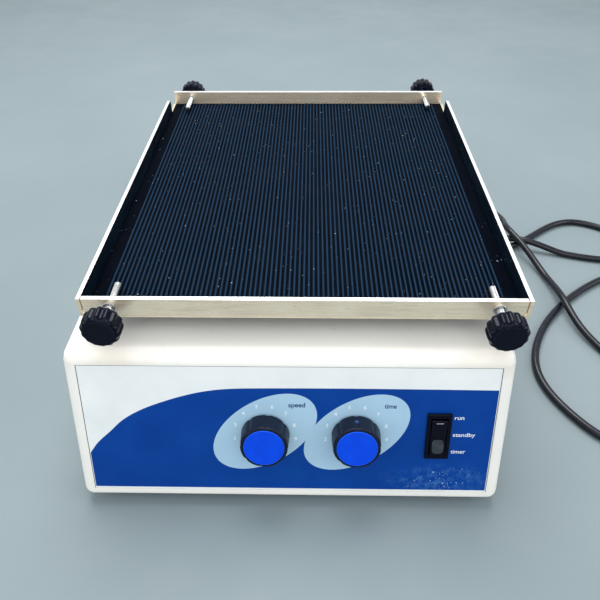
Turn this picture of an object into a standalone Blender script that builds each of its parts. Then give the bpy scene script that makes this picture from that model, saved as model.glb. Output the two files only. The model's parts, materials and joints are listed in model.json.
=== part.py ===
"""Orbital platform shaker: a sheet tray on an eccentric drive, over a moulded housing with a sloping panel.

Every length below is in millimetres and turned into metres where a mesh is made.
X runs to the right, Y to the back and Z up; the floor is z = 0.
"""

import math

import bmesh
import bpy
import numpy as np
from mathutils import Matrix, Vector

MM = 0.001

# Driving dimensions
ORBIT_RADIUS = 9.525
HOUSING_WIDTH = 285.0
HOUSING_LENGTH = 413.0
HOUSING_BOTTOM = 11.5
HOUSING_TOP = 115.0
HOUSING_EDGE = 8.0
WALL = 3.0
FRONT_WALL = 6.0
PANEL_TILT = math.radians(17.43)
TRAY_WIDTH = 279.4
TRAY_LENGTH = 330.2
TRAY_LIP = 15.9
TRAY_SHEET = 2.5
LIP_SHEET = 3.0
MAT_SHEET = 1.6
MAT_GAP = 0.2
OVERALL_HEIGHT = 146.0
GAP = 0.3
RUNNING = 0.08

# The spindle stands half an orbit left of the origin, so that the box at rest is centred
SPINDLE_X = -3.4
SPINDLE_Y = 7.2
TRAY_X = SPINDLE_X + ORBIT_RADIUS
TRAY_FRONT = SPINDLE_Y - TRAY_LENGTH / 2
TRAY_BACK = SPINDLE_Y + TRAY_LENGTH / 2
TRAY_BOTTOM = OVERALL_HEIGHT - TRAY_LIP
TRAY_FLOOR = TRAY_BOTTOM + TRAY_SHEET
FRONT_BOTTOM = -HOUSING_LENGTH / 2
FRONT_TOP = FRONT_BOTTOM + (HOUSING_TOP - HOUSING_BOTTOM) * math.tan(PANEL_TILT)

# Control panel, measured down the slope from the housing's upper front edge
PANEL_WIDTH = 268.0
PANEL_START = 8.6
PANEL_END = 102.6
PANEL_SINK = 0.9
PANEL_SHEET = 2.4
OVERLAY_SHEET = 0.4
DIAL_DOWN = 59.1
SPEED_X = -15.3
TIME_X = 44.1
DIAL_RADIUS = 15.5
DIAL_HEIGHT = 13.0
DIAL_NOTCHES = 8
CAP_RADIUS = 13.3
SWITCH_X = 97.8
SWITCH_DOWN = 58.8
SWITCH_WIDTH = 16.0
SWITCH_HEIGHT = 35.0

# Cooling slots in the rear wall, moved clear of the lead's outlet
VENTS = 8
VENT_STEP = 12.0
VENT_WIDTH = 3.0
VENT_SHIFT = -30.0
VENT_LOW = 48.0
VENT_HIGH = 84.0

# Drive
PULLEY_Z = 91.0
PULLEY_RADIUS = 58.0
MOTOR_PULLEY_RADIUS = 14.5
MOTOR_Y = SPINDLE_Y + 106.0
BELT_RADIUS = 2.5
STATOR_BORE = 23.0
IDLER_X = 100.0
IDLER_Y = 118.0

# Thumbscrews: (name, side of the tray, which lip, how far the knob stands off the lip)
SCREW_X = 120.0
SCREW_Z = OVERALL_HEIGHT - 7.0
STUD_RADIUS = 2.5
KNOB_RADIUS = 12.3
KNOB_LENGTH = 13.2
STUD_REACH = 33.5
SCREWS = (
    ("front_left", -1, -1, 10.2),
    ("front_right", 1, -1, 12.0),
    ("rear_left", -1, 1, 5.4),
    ("rear_right", 1, 1, 10.6),
)

# Mains lead
CORD_RADIUS = 3.25
GLAND_X = 96.0
GLAND_Z = 34.0
COIL_CENTRE = (386.0, 20.0)
COIL_RADIUS = 36.0
COIL_TURNS = 1.25
PLUG_Y = -24.0
PLUG_Z = 12.0

CUTTERS = None


def clear_scene():
    """Empties the file and makes the collection that holds the cutters."""
    global CUTTERS
    for obj in list(bpy.data.objects):
        bpy.data.objects.remove(obj)
    CUTTERS = bpy.data.collections.new("cutters")
    bpy.context.scene.collection.children.link(CUTTERS)
    CUTTERS.hide_render = True


def material(name, colour, roughness, metallic=0.0):
    """A Principled material of one colour."""
    made = bpy.data.materials.new(name)
    made.use_nodes = True
    shader = made.node_tree.nodes["Principled BSDF"]
    shader.inputs["Base Color"].default_value = (*colour, 1.0)
    shader.inputs["Roughness"].default_value = roughness
    shader.inputs["Metallic"].default_value = metallic
    made.diffuse_color = (*colour, 1.0)
    return made


def materials():
    """All the finishes, by name."""
    return {
        "housing": material("housing", (0.80, 0.79, 0.74), 0.42),
        "steel": material("steel", (0.55, 0.56, 0.58), 0.35, 1.0),
        "aluminium": material("aluminium", (0.72, 0.72, 0.71), 0.38, 1.0),
        "iron": material("iron", (0.20, 0.21, 0.23), 0.6, 0.6),
        "rubber": material("rubber", (0.02, 0.025, 0.03), 0.75),
        "mat": material("mat", (0.012, 0.018, 0.026), 0.55),
        "panel": material("panel", (0.82, 0.86, 0.87), 0.4),
        "blue": material("blue", (0.0, 0.07, 0.62), 0.35),
        "black": material("black", (0.012, 0.013, 0.015), 0.3),
        "board": material("board", (0.02, 0.16, 0.06), 0.5),
        "brass": material("brass", (0.72, 0.50, 0.20), 0.35, 1.0),
        "cord": material("cord", (0.010, 0.013, 0.018), 0.45),
    }


def empty(name, location, rotation=(0.0, 0.0, 0.0), parent=None):
    """A frame for the pieces that turn or lie together."""
    made = bpy.data.objects.new(name, None)
    made.location = [value * MM for value in location]
    made.rotation_euler = rotation
    made.parent = parent
    bpy.context.scene.collection.objects.link(made)
    return made


def place(name, mesh, look, location=(0, 0, 0), rotation=(0, 0, 0), parent=None):
    """Links a mesh as a named object."""
    made = bpy.data.objects.new(name, mesh)
    made.location = [value * MM for value in location]
    made.rotation_euler = rotation
    made.parent = parent
    if look is None:
        CUTTERS.objects.link(made)
        made.hide_render = True
        made.display_type = "WIRE"
    else:
        mesh.materials.append(look)
        bpy.context.scene.collection.objects.link(made)
    return made


def mesh_of(bm, name):
    """Closes a bmesh into a mesh whose faces point out."""
    bmesh.ops.recalc_face_normals(bm, faces=bm.faces)
    mesh = bpy.data.meshes.new(name)
    bm.to_mesh(mesh)
    bm.free()
    return mesh


def block_mesh(name, low, high, bevel=0.0, segments=2, lean=0.0):
    """A box from its low and high corners; lean moves its upper front edge back, bevel rounds every edge."""
    bm = bmesh.new()
    bmesh.ops.create_cube(bm, size=1.0)
    for vert in bm.verts:
        vert.co = Vector([(low[i] if vert.co[i] < 0 else high[i]) * MM for i in range(3)])
    for vert in bm.verts:
        if vert.co.y < (low[1] + high[1]) / 2 * MM and vert.co.z > (low[2] + high[2]) / 2 * MM:
            vert.co.y += lean * MM
    if bevel:
        bmesh.ops.bevel(
            bm, geom=list(bm.edges), offset=bevel * MM, segments=segments, profile=0.5, affect="EDGES"
        )
    return mesh_of(bm, name)


def block(name, look, low, high, bevel=0.0, segments=2, lean=0.0, **placing):
    """A box as an object."""
    return place(name, block_mesh(name, low, high, bevel, segments, lean), look, **placing)


def prism(name, look, outline, bottom, top, taper=1.0, **placing):
    """A flat outline raised from bottom to top, its upper face scaled by taper."""
    bm = bmesh.new()
    base = bm.faces.new([bm.verts.new((x * MM, y * MM, bottom * MM)) for x, y in outline])
    raised = bmesh.ops.extrude_face_region(bm, geom=[base])
    for vert in (item for item in raised["geom"] if isinstance(item, bmesh.types.BMVert)):
        vert.co = Vector((vert.co.x * taper, vert.co.y * taper, top * MM))
    return place(name, mesh_of(bm, name), look, **placing)


def turned(name, look, profile, sides=24, start=0.0, **placing):
    """A solid of revolution about Z. The profile's (radius, height) points run down the outside."""
    bm = bmesh.new()
    verts = [bm.verts.new((radius * MM, 0.0, height * MM)) for radius, height in profile]
    for first, second in zip(verts, verts[1:]):
        bm.edges.new((first, second))
    if profile[0][0] > 0:
        bm.edges.new((verts[-1], verts[0]))
    bmesh.ops.rotate(bm, verts=verts, matrix=Matrix.Rotation(start, 3, "Z"))
    mesh = bpy.data.meshes.new(name)
    bm.to_mesh(mesh)
    bm.free()
    made = place(name, mesh, look, **placing)
    screw = made.modifiers.new("turn", "SCREW")
    screw.steps = screw.render_steps = sides
    screw.use_merge_vertices = True
    screw.merge_threshold = 0.00001
    screw.use_smooth_shade = False
    return made


def rod(radius, bottom, top):
    """The profile of a plain cylinder."""
    return [(0, top), (radius, top), (radius, bottom), (0, bottom)]


def cut(target, *cutters):
    """Takes each cutter out of the target."""
    for cutter in cutters:
        boolean = target.modifiers.new("cut " + cutter.name, "BOOLEAN")
        boolean.operation = "DIFFERENCE"
        boolean.solver = "EXACT"
        boolean.object = cutter
    return target


def join(target, *pieces):
    """Joins each helper into the target."""
    for piece in pieces:
        boolean = target.modifiers.new("join " + piece.name, "BOOLEAN")
        boolean.operation = "UNION"
        boolean.solver = "EXACT"
        boolean.object = piece
    return target


def lobed(radius, depth, lobes, per_lobe, sharpness=1):
    """The outline of a scalloped knob, a valley at +X; sharpness above 1 narrows the valleys to notches."""
    outline = []
    for i in range(lobes * per_lobe):
        angle = math.tau * i / (lobes * per_lobe)
        valley = (0.5 + 0.5 * math.cos(lobes * angle)) ** sharpness
        reach = radius - depth * valley
        outline.append((reach * math.cos(angle), reach * math.sin(angle)))
    return outline


def idler_places():
    """(name, x, y) of each idler crank's lower shaft."""
    return [
        (f"{row}_{side}", SPINDLE_X + sx * IDLER_X, SPINDLE_Y + sy * IDLER_Y)
        for row, sy in (("front", -1), ("rear", 1))
        for side, sx in (("left", -1), ("right", 1))
    ]


def panel_frame():
    """A frame on the sloping face: X right, Y up the slope, Z out of it, origin at the upper front edge."""
    return empty("panel_frame", (SPINDLE_X, FRONT_TOP, HOUSING_TOP), (math.pi / 2 - PANEL_TILT, 0, 0))


def make_housing(looks, slope):
    """The moulded cover: a rounded box, hollow below, with the panel's recess, pin holes and vents."""
    half = HOUSING_WIDTH / 2
    back = HOUSING_LENGTH / 2
    lean = FRONT_TOP - FRONT_BOTTOM
    housing = block(
        "top_housing", looks["housing"],
        (-half, FRONT_BOTTOM, HOUSING_BOTTOM), (half, back, HOUSING_TOP),
        bevel=HOUSING_EDGE, segments=3, lean=lean, location=(SPINDLE_X, 0, 0),
    )
    inset = FRONT_WALL / math.cos(PANEL_TILT)
    low, high = 18.0, HOUSING_TOP - WALL
    front = FRONT_BOTTOM + (low - HOUSING_BOTTOM) * math.tan(PANEL_TILT) + inset
    cavity = block(
        "cut_cavity", None, (-half + WALL, front, low), (half - WALL, back - WALL, high),
        bevel=5.0, lean=(high - low) * math.tan(PANEL_TILT), location=(SPINDLE_X, 0, 0),
    )
    mouth = block(
        "cut_mouth", None, (-half + 10.5, FRONT_BOTTOM + 13.0, 0), (half - 10.5, back - 10.5, low + 8.0),
        location=(SPINDLE_X, 0, 0),
    )
    recess = block(
        "cut_recess", None, (-PANEL_WIDTH / 2 - 0.5, -PANEL_END - 0.4, -PANEL_SINK - PANEL_SHEET - GAP),
        (PANEL_WIDTH / 2 + 0.5, -PANEL_START + 0.4, 5), parent=slope,
    )
    window = block("cut_window", None, (-126, -PANEL_END + 8, -14), (126, -PANEL_START - 8, 0), parent=slope)
    holes = [turned("cut_spindle", None, rod(22.0, 100, 130), location=(SPINDLE_X, SPINDLE_Y, 0))]
    for name, x, y in idler_places():
        holes.append(turned("cut_" + name, None, rod(18.0, 100, 130), location=(x, y, 0)))
    vents = []
    for i in range(VENTS):
        left = SPINDLE_X + VENT_STEP * (i - (VENTS - 1) / 2) + VENT_SHIFT
        low, high = (left, back - 10, VENT_LOW), (left + VENT_WIDTH, back + 10, VENT_HIGH)
        vents.append(block(f"cut_vent_{i}", None, low, high))
    outlet = turned(
        "cut_outlet", None, rod(8.3, -20, 20), location=(GLAND_X, back, GLAND_Z), rotation=(math.pi / 2, 0, 0)
    )
    cut(housing, cavity, mouth, recess, window, *holes, *vents, outlet)


def make_base(looks):
    """The steel base plate and its four rubber feet."""
    half, back = HOUSING_WIDTH / 2, HOUSING_LENGTH / 2
    block(
        "base_plate", looks["steel"], (-half + 11, FRONT_BOTTOM + 13.5, 12), (half - 11, back - 11, 15),
        location=(SPINDLE_X, 0, 0),
    )
    profile = [(0, 11.7), (13, 11.7), (13, 8), (11, 1.2), (9.8, 0), (0, 0)]
    for row, y in (("front", FRONT_BOTTOM + 42), ("rear", back - 34)):
        for side, x in (("left", -108), ("right", 108)):
            turned(f"foot_{row}_{side}", looks["rubber"], profile, location=(SPINDLE_X + x, y, 0))


def make_panel(looks, slope):
    """The control panel: a plate in the recess and the printed overlay on it, both drilled for the controls."""
    half = PANEL_WIDTH / 2
    sheets = (
        ("front_panel", -PANEL_SINK - PANEL_SHEET, -PANEL_SINK),
        ("panel_overlay", -PANEL_SINK + GAP, -PANEL_SINK + GAP + OVERLAY_SHEET),
    )
    for name, bottom, top in sheets:
        sheet = block(name, looks["panel"], (-half, -PANEL_END, bottom), (half, -PANEL_START, top), parent=slope)
        holes = [
            turned(f"cut_{name}_{x:.0f}", None, rod(5.0, -12, 12), parent=slope, location=(x, -DIAL_DOWN, 0))
            for x in (SPEED_X, TIME_X)
        ]
        slot = block(
            f"cut_{name}_switch", None, (-6.8, -15.8, -12), (6.8, 15.8, 12), parent=slope,
            location=(SWITCH_X, -SWITCH_DOWN, 0),
        )
        cut(sheet, *holes, slot)


def make_dial(looks, slope, name, x, pointer):
    """A potentiometer behind the panel and its fluted dial, which turn about the panel's normal."""
    centre = (x, -DIAL_DOWN, 0)
    behind = -PANEL_SINK - PANEL_SHEET - GAP
    turned(
        f"{name}_control", looks["steel"],
        [(4.6, 0.9), (4.6, behind), (12, behind), (12, behind - 14), (3 + RUNNING, behind - 14), (3 + RUNNING, 0.9)],
        parent=slope, location=centre,
    )
    axis = empty(f"{name}_axis", centre, (0, 0, pointer), slope)
    turned(f"{name}_shaft", looks["aluminium"], rod(3.0, behind - 12, 10.5), parent=axis)
    outline = lobed(DIAL_RADIUS, 0.6, DIAL_NOTCHES, 6, sharpness=5)
    dial = prism(f"{name}_dial", looks["black"], outline, 1.2, DIAL_HEIGHT, taper=0.945, parent=axis)
    bore = turned(f"cut_{name}_bore", None, rod(3.3, -5, 10.8), parent=axis)
    skirt = turned(f"cut_{name}_skirt", None, rod(12.0, -5, 4.0), parent=axis)
    cut(dial, bore, skirt)
    top = DIAL_HEIGHT + GAP
    cap = [(0, top + 1.7), (CAP_RADIUS - 0.7, top + 1.4), (CAP_RADIUS, top + 0.8), (CAP_RADIUS, top), (0, top)]
    turned(f"{name}_cap", looks["blue"], cap, sides=32, parent=axis)


def make_switch(looks, slope):
    """The three-position rocker switch: a bezel and body, and the rocker in it."""
    centre = (SWITCH_X, -SWITCH_DOWN, 0)
    wide, tall = SWITCH_WIDTH / 2, SWITCH_HEIGHT / 2
    body = block("switch_body", looks["black"], (-wide, -tall, 0.2), (wide, tall, 2.0), parent=slope, location=centre)
    rear = block("add_switch_rear", None, (-6.4, -15.4, -22), (6.4, 15.4, 1.0), parent=slope, location=centre)
    well = block("cut_switch_well", None, (-5.5, -14.2, -8), (5.5, 14.2, 5), parent=slope, location=centre)
    cut(join(body, rear), well)
    hinge = empty("rocker_axis", (SWITCH_X, -SWITCH_DOWN, -2.0), parent=slope)
    outline = [(-12.6, -3.0), (12.6, -3.0), (13.2, 6.6), (12.4, 7.2), (0, 4.2), (-12.4, 7.2), (-13.2, 6.6)]
    prism(
        "rocker", looks["black"], outline, -5.1, 5.1, parent=hinge,
        rotation=(math.pi / 2, 0, math.pi / 2),
    )


def make_board(looks):
    """The control board on its bracket, behind the panel."""
    block("board_bracket", looks["aluminium"], (-70, -150, 15.3), (70, -96, 17.3), location=(SPINDLE_X, 0, 0))
    board = block("circuit_board", looks["board"], (-66, -147, 21), (66, -99, 22.6), location=(SPINDLE_X, 0, 0))
    parts = [
        block("add_transformer", None, (-58, -138, 22), (-22, -108, 50), location=(SPINDLE_X, 0, 0)),
        block("add_heat_sink", None, (6, -112, 22), (50, -106, 44), location=(SPINDLE_X, 0, 0)),
        turned("add_capacitor", None, rod(9, 22, 46), sides=16, location=(SPINDLE_X - 2, -124, 0)),
        block("add_terminals", None, (20, -142, 22), (60, -132, 34), location=(SPINDLE_X, 0, 0)),
    ]
    parts += [
        turned(f"add_standoff_{x}_{y}", None, rod(3, 17.6, 22), sides=8, location=(SPINDLE_X + x, y, 0))
        for x in (-60, 60) for y in (-143, -103)
    ]
    join(board, *parts)


def make_spindle(looks):
    """The main bearing column, and the crank, pulley and counterweight that turn in it."""
    spot = (SPINDLE_X, SPINDLE_Y, 0)
    bore = 8.0 + RUNNING
    column = [(22, 84), (22, 24), (42, 20), (42, 15.3), (bore, 15.3), (bore, 84)]
    turned("spindle_housing", looks["aluminium"], column, location=spot)
    axis = empty("spindle_axis", spot)
    crank = turned(
        "crank_shaft", looks["steel"], [(0, 105), (24, 105), (24, 97), (8, 97), (8, 18), (0, 18)], parent=axis
    )
    pin = turned("add_crank_pin", None, rod(6.0, 100, 127.4), parent=axis, location=(ORBIT_RADIUS, 0, 0))
    join(crank, pin)
    rim, groove = PULLEY_RADIUS, PULLEY_RADIUS - 6
    low, high = PULLEY_Z - 5, PULLEY_Z + 5
    turned(
        "drive_pulley", looks["aluminium"],
        [(rim, high), (rim, PULLEY_Z + 4.2), (groove, PULLEY_Z + 2.9), (groove, PULLEY_Z - 2.9),
         (rim, PULLEY_Z - 4.2), (rim, low), (8.3, low), (8.3, high)],
        sides=40, parent=axis,
    )
    weight = [(-24.5, -34)] + [
        (-24.5 - 34 * math.sin(math.pi * i / 8), -34 * math.cos(math.pi * i / 8)) for i in range(1, 8)
    ] + [(-24.5, 34)]
    prism("counterweight", looks["iron"], weight, PULLEY_Z + 5.3, 106, parent=axis)


def make_idlers(looks):
    """Four bearing posts, and the idler crank that turns in each and keeps the tray square."""
    for name, x, y in idler_places():
        bore = 5.0 + RUNNING
        post = [(13, 100.7), (13, 22), (20, 19), (20, 15.3), (bore, 15.3), (bore, 100.7)]
        turned(f"idler_post_{name}", looks["aluminium"], post, sides=20, location=(x, y, 0))
        axis = empty(f"idler_axis_{name}", (x, y, 0))
        crank = turned(
            f"idler_crank_{name}", looks["steel"],
            [(0, 108), (17.5, 108), (17.5, 101), (5, 101), (5, 60), (0, 60)], parent=axis,
        )
        pin = turned(f"add_idler_pin_{name}", None, rod(5.0, 104, 127.4), parent=axis, location=(ORBIT_RADIUS, 0, 0))
        join(crank, pin)


def make_motor(looks):
    """The motor under its bracket, its shaft and pulley, and the belt to the spindle's pulley."""
    spot = (SPINDLE_X, MOTOR_Y, 0)
    bracket = block("motor_bracket", looks["steel"], (-44, -36, 15.3), (44, 36, 79), location=spot)
    inside = block("cut_bracket", None, (-41, -50, 18.3), (41, 50, 76), location=spot)
    floor = block("cut_bracket_floor", None, (-36, -50, 0), (36, 50, 30), location=spot)
    neck = turned("cut_bracket_neck", None, rod(12.0, 70, 90), location=spot)
    cut(bracket, inside, floor, neck)
    bore = 3.0 + RUNNING
    can = [
        (11.5, 80), (11.5, 75.7), (32, 75.7), (33, 74), (33, 26), (31, 24), (bore, 24), (bore, 28),
        (STATOR_BORE, 28), (STATOR_BORE, 71), (bore, 71), (bore, 80),
    ]
    turned("motor_body", looks["iron"], can, sides=28, location=spot)
    axis = empty("motor_axis", spot)
    turned("motor_shaft", looks["steel"], rod(3.0, 26, 98), parent=axis)
    armature = [(STATOR_BORE - 1, 68), (STATOR_BORE - 1, 31), (3 + GAP, 31), (3 + GAP, 68)]
    turned("motor_armature", looks["iron"], armature, sides=28, parent=axis)
    rim, groove = MOTOR_PULLEY_RADIUS + 3, MOTOR_PULLEY_RADIUS - 3
    low, high = PULLEY_Z - 5, PULLEY_Z + 5
    turned(
        "motor_pulley", looks["aluminium"],
        [(rim, high), (rim, PULLEY_Z + 4.2), (groove, PULLEY_Z + 2.9), (groove, PULLEY_Z - 2.9),
         (rim, PULLEY_Z - 4.2), (rim, low), (3.3, low), (3.3, high)], parent=axis,
    )
    tube("drive_belt", looks["rubber"], belt_route(), BELT_RADIUS, closed=True, resolution=1)


def belt_route():
    """The round belt's centre line round the two pulleys."""
    large = PULLEY_RADIUS - 6 + 2 * GAP + BELT_RADIUS
    small = MOTOR_PULLEY_RADIUS - 3 + 2 * GAP + BELT_RADIUS
    span = MOTOR_Y - SPINDLE_Y
    lean = math.asin((large - small) / span)
    points = []
    for i in range(21):
        angle = math.pi - lean + (math.pi + 2 * lean) * i / 20
        points.append((SPINDLE_X + large * math.cos(angle), SPINDLE_Y + large * math.sin(angle), PULLEY_Z))
    for i in range(9):
        angle = lean + (math.pi - 2 * lean) * i / 8
        points.append((SPINDLE_X + small * math.cos(angle), MOTOR_Y + small * math.sin(angle), PULLEY_Z))
    return points


def tube(name, look, points, radius, closed=False, resolution=2):
    """A round tube along the points, as a curve with a bevel."""
    curve = bpy.data.curves.new(name, "CURVE")
    curve.dimensions = "3D"
    curve.bevel_depth = radius * MM
    curve.bevel_resolution = resolution
    curve.use_fill_caps = not closed
    spline = curve.splines.new("POLY")
    spline.points.add(len(points) - 1)
    for point, place_at in zip(spline.points, points):
        point.co = (*[value * MM for value in place_at], 1.0)
    spline.use_cyclic_u = closed
    return place(name, curve, look)


def make_carriage(looks):
    """The plate under the tray and the five bearings that the cranks' pins turn in."""
    axis = empty("carriage_frame", (TRAY_X, SPINDLE_Y, 0))
    top = TRAY_BOTTOM - GAP
    plate = block("carriage_plate", looks["aluminium"], (-122, -138, top - 3), (122, 138, top), parent=axis)
    windows = []
    for x, y in ((-50, -66), (50, -66), (-50, 66), (50, 66)):
        low, high = (x - 32, y - 34, 100), (x + 32, y + 34, 140)
        windows.append(block(f"cut_carriage_{x}_{y}", None, low, high, parent=axis))
    seats = [turned("cut_seat_hub", None, rod(18.3, 100, 140), parent=axis)]
    turned(
        "hub_bearing", looks["steel"],
        [(0, top), (18, top), (18, 118), (6 + RUNNING, 118), (6 + RUNNING, 128), (0, 128)], parent=axis,
    )
    for name, x, y in idler_places():
        at = (x - SPINDLE_X, y - SPINDLE_Y, 0)
        seats.append(turned(f"cut_seat_{name}", None, rod(12.3, 100, 140), sides=20, parent=axis, location=at))
        turned(
            f"idler_bearing_{name}", looks["steel"],
            [(0, top), (12, top), (12, 118), (5 + RUNNING, 118), (5 + RUNNING, 128), (0, 128)],
            sides=20, parent=axis, location=at,
        )
    cut(plate, *windows, *seats)


def make_tray(looks):
    """The sheet tray with its four upturned sides, and the rubber mat in it."""
    half, depth = TRAY_WIDTH / 2, TRAY_LENGTH
    axis = empty("tray_frame", (TRAY_X, TRAY_FRONT, 0))
    tray = block("tray", looks["aluminium"], (-half, 0, TRAY_BOTTOM), (half, depth, OVERALL_HEIGHT), parent=axis)
    well = block(
        "cut_well", None, (-half + TRAY_SHEET, LIP_SHEET, TRAY_FLOOR),
        (half - TRAY_SHEET, depth - LIP_SHEET, OVERALL_HEIGHT + 10), parent=axis,
    )
    cutters = [well]
    for side in (-1, 1):
        near, far = sorted((side * (half - TRAY_SHEET - 0.7), side * (half - TRAY_SHEET)))
        low, high = (near, -5, TRAY_FLOOR + 2), (far, LIP_SHEET + 2, 160)
        cutters.append(block(f"cut_corner_{side}", None, low, high, parent=axis))
        near, far = sorted((side * (half - TRAY_SHEET - 0.2), side * (half + 5)))
        outline = [
            (depth + 5, TRAY_FLOOR), (depth + 5, OVERALL_HEIGHT + 5), (depth - 26, OVERALL_HEIGHT + 5),
            (depth - 26, OVERALL_HEIGHT), (depth - 23.2, OVERALL_HEIGHT - 1.2), (depth - 22, OVERALL_HEIGHT - 4),
            (depth - 22, TRAY_FLOOR),
        ]
        cutters.append(
            prism(f"cut_relief_{side}", None, outline, near, far, parent=axis,
                  rotation=(math.pi / 2, 0, math.pi / 2))
        )
    for name, side, lip, _ in SCREWS:
        y = 0 if lip < 0 else depth
        cutters.append(
            turned(f"cut_stud_{name}", None, rod(STUD_RADIUS + RUNNING, -8, 8), parent=axis,
                   location=(side * SCREW_X, y, SCREW_Z), rotation=(math.pi / 2, 0, 0))
        )
    cut(tray, *cutters)
    mat_half = half - TRAY_SHEET - 0.6
    block(
        "rubber_mat", looks["mat"], (-mat_half, LIP_SHEET + 0.4, TRAY_FLOOR + MAT_GAP),
        (mat_half, depth - LIP_SHEET - 0.4, TRAY_FLOOR + MAT_GAP + MAT_SHEET), parent=axis,
    )


def make_thumbscrews(looks):
    """Four studs through the lips, each with a scalloped knob that turns on its axis."""
    for name, side, lip, standoff in SCREWS:
        face = TRAY_FRONT if lip < 0 else TRAY_BACK
        inner = face + lip * standoff
        axis = empty(
            f"screw_axis_{name}", (TRAY_X + side * SCREW_X, inner, SCREW_Z), (-lip * math.pi / 2, 0, 0)
        )
        tip = -STUD_REACH
        stud = [(0, 9), (STUD_RADIUS, 9), (STUD_RADIUS, tip + 1), (STUD_RADIUS - 0.8, tip), (0, tip)]
        turned(f"stud_{name}", looks["steel"], stud, sides=16, parent=axis)
        outline = lobed(KNOB_RADIUS, 0.9, 14, 4)
        knob = prism(f"knob_{name}", looks["black"], outline, 0, KNOB_LENGTH, parent=axis)
        bore = turned(f"cut_knob_{name}", None, rod(STUD_RADIUS + RUNNING, -5, 9.5), sides=16, parent=axis)
        cut(knob, bore)


def cord_route():
    """The lead's route to its coil: out of the gland, to the floor and round the right side."""
    floor = CORD_RADIUS + 0.05
    x, y = COIL_CENTRE
    return [
        (GLAND_X, 241, GLAND_Z), (97, 262, 29), (106, 291, 12), (132, 314, floor), (163, 300, floor),
        (168, 266, floor), (156, 215, floor), (152, 115, floor), (161, 86, floor), (187, 75, floor),
        (215, 92, floor), (244, 112, floor), (307, 149, floor), (340, 134, floor),
        (356, 106, floor), (342, 81, floor), (314, 78, floor), (280, 87, floor), (239, 102.5, floor + 7.2),
        (213, 113, floor + 3), (183, 125, floor), (169, 150, floor), (186, 177, floor), (217, 174, floor),
        (228, 146, floor + 4), (224, 120, floor + 12.6), (231, 96, floor + 12.2), (248, 48, floor + 1.5),
        (251, 8, floor + 7.2), (256, -28, floor + 4), (272, -64, floor), (288, -105, floor), (277, -144, floor),
        (249, -157, floor), (220, -132, floor), (204, -84, floor), (221, -34, floor), (268, 19, floor),
        (345, 57.5, floor), (x, y + COIL_RADIUS, floor),
    ]


def tail_route():
    """The lead's last stretch, from the top of the coil to the plug."""
    x, y = COIL_CENTRE[0] + COIL_RADIUS, COIL_CENTRE[1]
    top = CORD_RADIUS * (1 + 2 * COIL_TURNS)
    return [(x, y, top), (x, y - 20, top + 0.2), (x, PLUG_Y + GAP, PLUG_Z)]


def smooth(route, spacing):
    """Points at even steps along a cubic spline through the route, kept on or above the floor."""
    knots = np.array(route, float)
    at = np.concatenate([[0.0], np.cumsum(np.linalg.norm(np.diff(knots, axis=0), axis=1))])
    gaps = np.diff(at)
    slopes = np.diff(knots, axis=0) / gaps[:, None]
    system = np.eye(len(knots))
    bends = np.zeros_like(knots)
    for i in range(1, len(knots) - 1):
        system[i, i - 1:i + 2] = gaps[i - 1], 2 * (gaps[i - 1] + gaps[i]), gaps[i]
        bends[i] = 6 * (slopes[i] - slopes[i - 1])
    bends = np.linalg.solve(system, bends)
    fine = np.linspace(0, at[-1], 2000)
    i = np.clip(np.searchsorted(at, fine) - 1, 0, len(gaps) - 1)
    left, right, gap = (fine - at[i])[:, None], (at[i + 1] - fine)[:, None], gaps[i][:, None]
    curve = (bends[i] * right**3 + bends[i + 1] * left**3) / (6 * gap)
    curve += (knots[i] / gap - bends[i] * gap / 6) * right + (knots[i + 1] / gap - bends[i + 1] * gap / 6) * left
    gone = np.concatenate([[0.0], np.cumsum(np.linalg.norm(np.diff(curve, axis=0), axis=1))])
    even = np.linspace(0, gone[-1], round(gone[-1] / spacing) + 1)
    points = np.stack([np.interp(even, gone, curve[:, k]) for k in range(3)], axis=1)
    points[:, 2] = np.maximum(points[:, 2], CORD_RADIUS + 0.05)
    return points


def make_lead(looks):
    """The mains lead: its gland, the tube, the solid of its coil, the tail and the moulded plug."""
    back = HOUSING_LENGTH / 2
    gland = [
        (4.4, 34), (8.0, 8), (9.8, 7.4), (11.5, 5), (11.5, 0.3), (8.0, 0.3), (8.0, -6), (3.6, -6), (3.6, 34),
    ]
    turned(
        "cable_gland", looks["black"], gland, sides=20, location=(GLAND_X, back, GLAND_Z),
        rotation=(-math.pi / 2, 0, 0),
    )
    x, y = COIL_CENTRE
    inner, outer = COIL_RADIUS - CORD_RADIUS, COIL_RADIUS + CORD_RADIUS
    clear = math.sqrt((outer + CORD_RADIUS + GAP) ** 2 - COIL_RADIUS**2)
    tube("power_cord", looks["cord"], trimmed(smooth(cord_route(), 2.0), 19.5, end=clear), CORD_RADIUS)
    top = 2 * CORD_RADIUS * (COIL_TURNS + 1) + 0.05
    turned(
        "cord_coil", looks["cord"],
        [(outer - 1, top), (outer, top - 1), (outer, 1), (outer - 1, 0.05), (inner + 1, 0.05), (inner, 1),
         (inner, top - 1), (inner + 1, top)], sides=28, location=(x, y, 0),
    )
    tube("cord_tail", looks["cord"], trimmed(smooth(tail_route(), 2.0), 9.0, start=clear), CORD_RADIUS)
    make_plug(looks, x + COIL_RADIUS)


def trimmed(points, spacing, start=0.0, end=0.0):
    """The fine points with a length taken off either end, thinned to the spacing."""
    gone = np.concatenate([[0.0], np.cumsum(np.linalg.norm(np.diff(points, axis=0), axis=1))])
    even = np.linspace(start, gone[-1] - end, round((gone[-1] - start - end) / spacing) + 1)
    return [tuple(np.interp(even, gone, points[:, k])[i] for k in range(3)) for i in range(len(even))]


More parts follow.
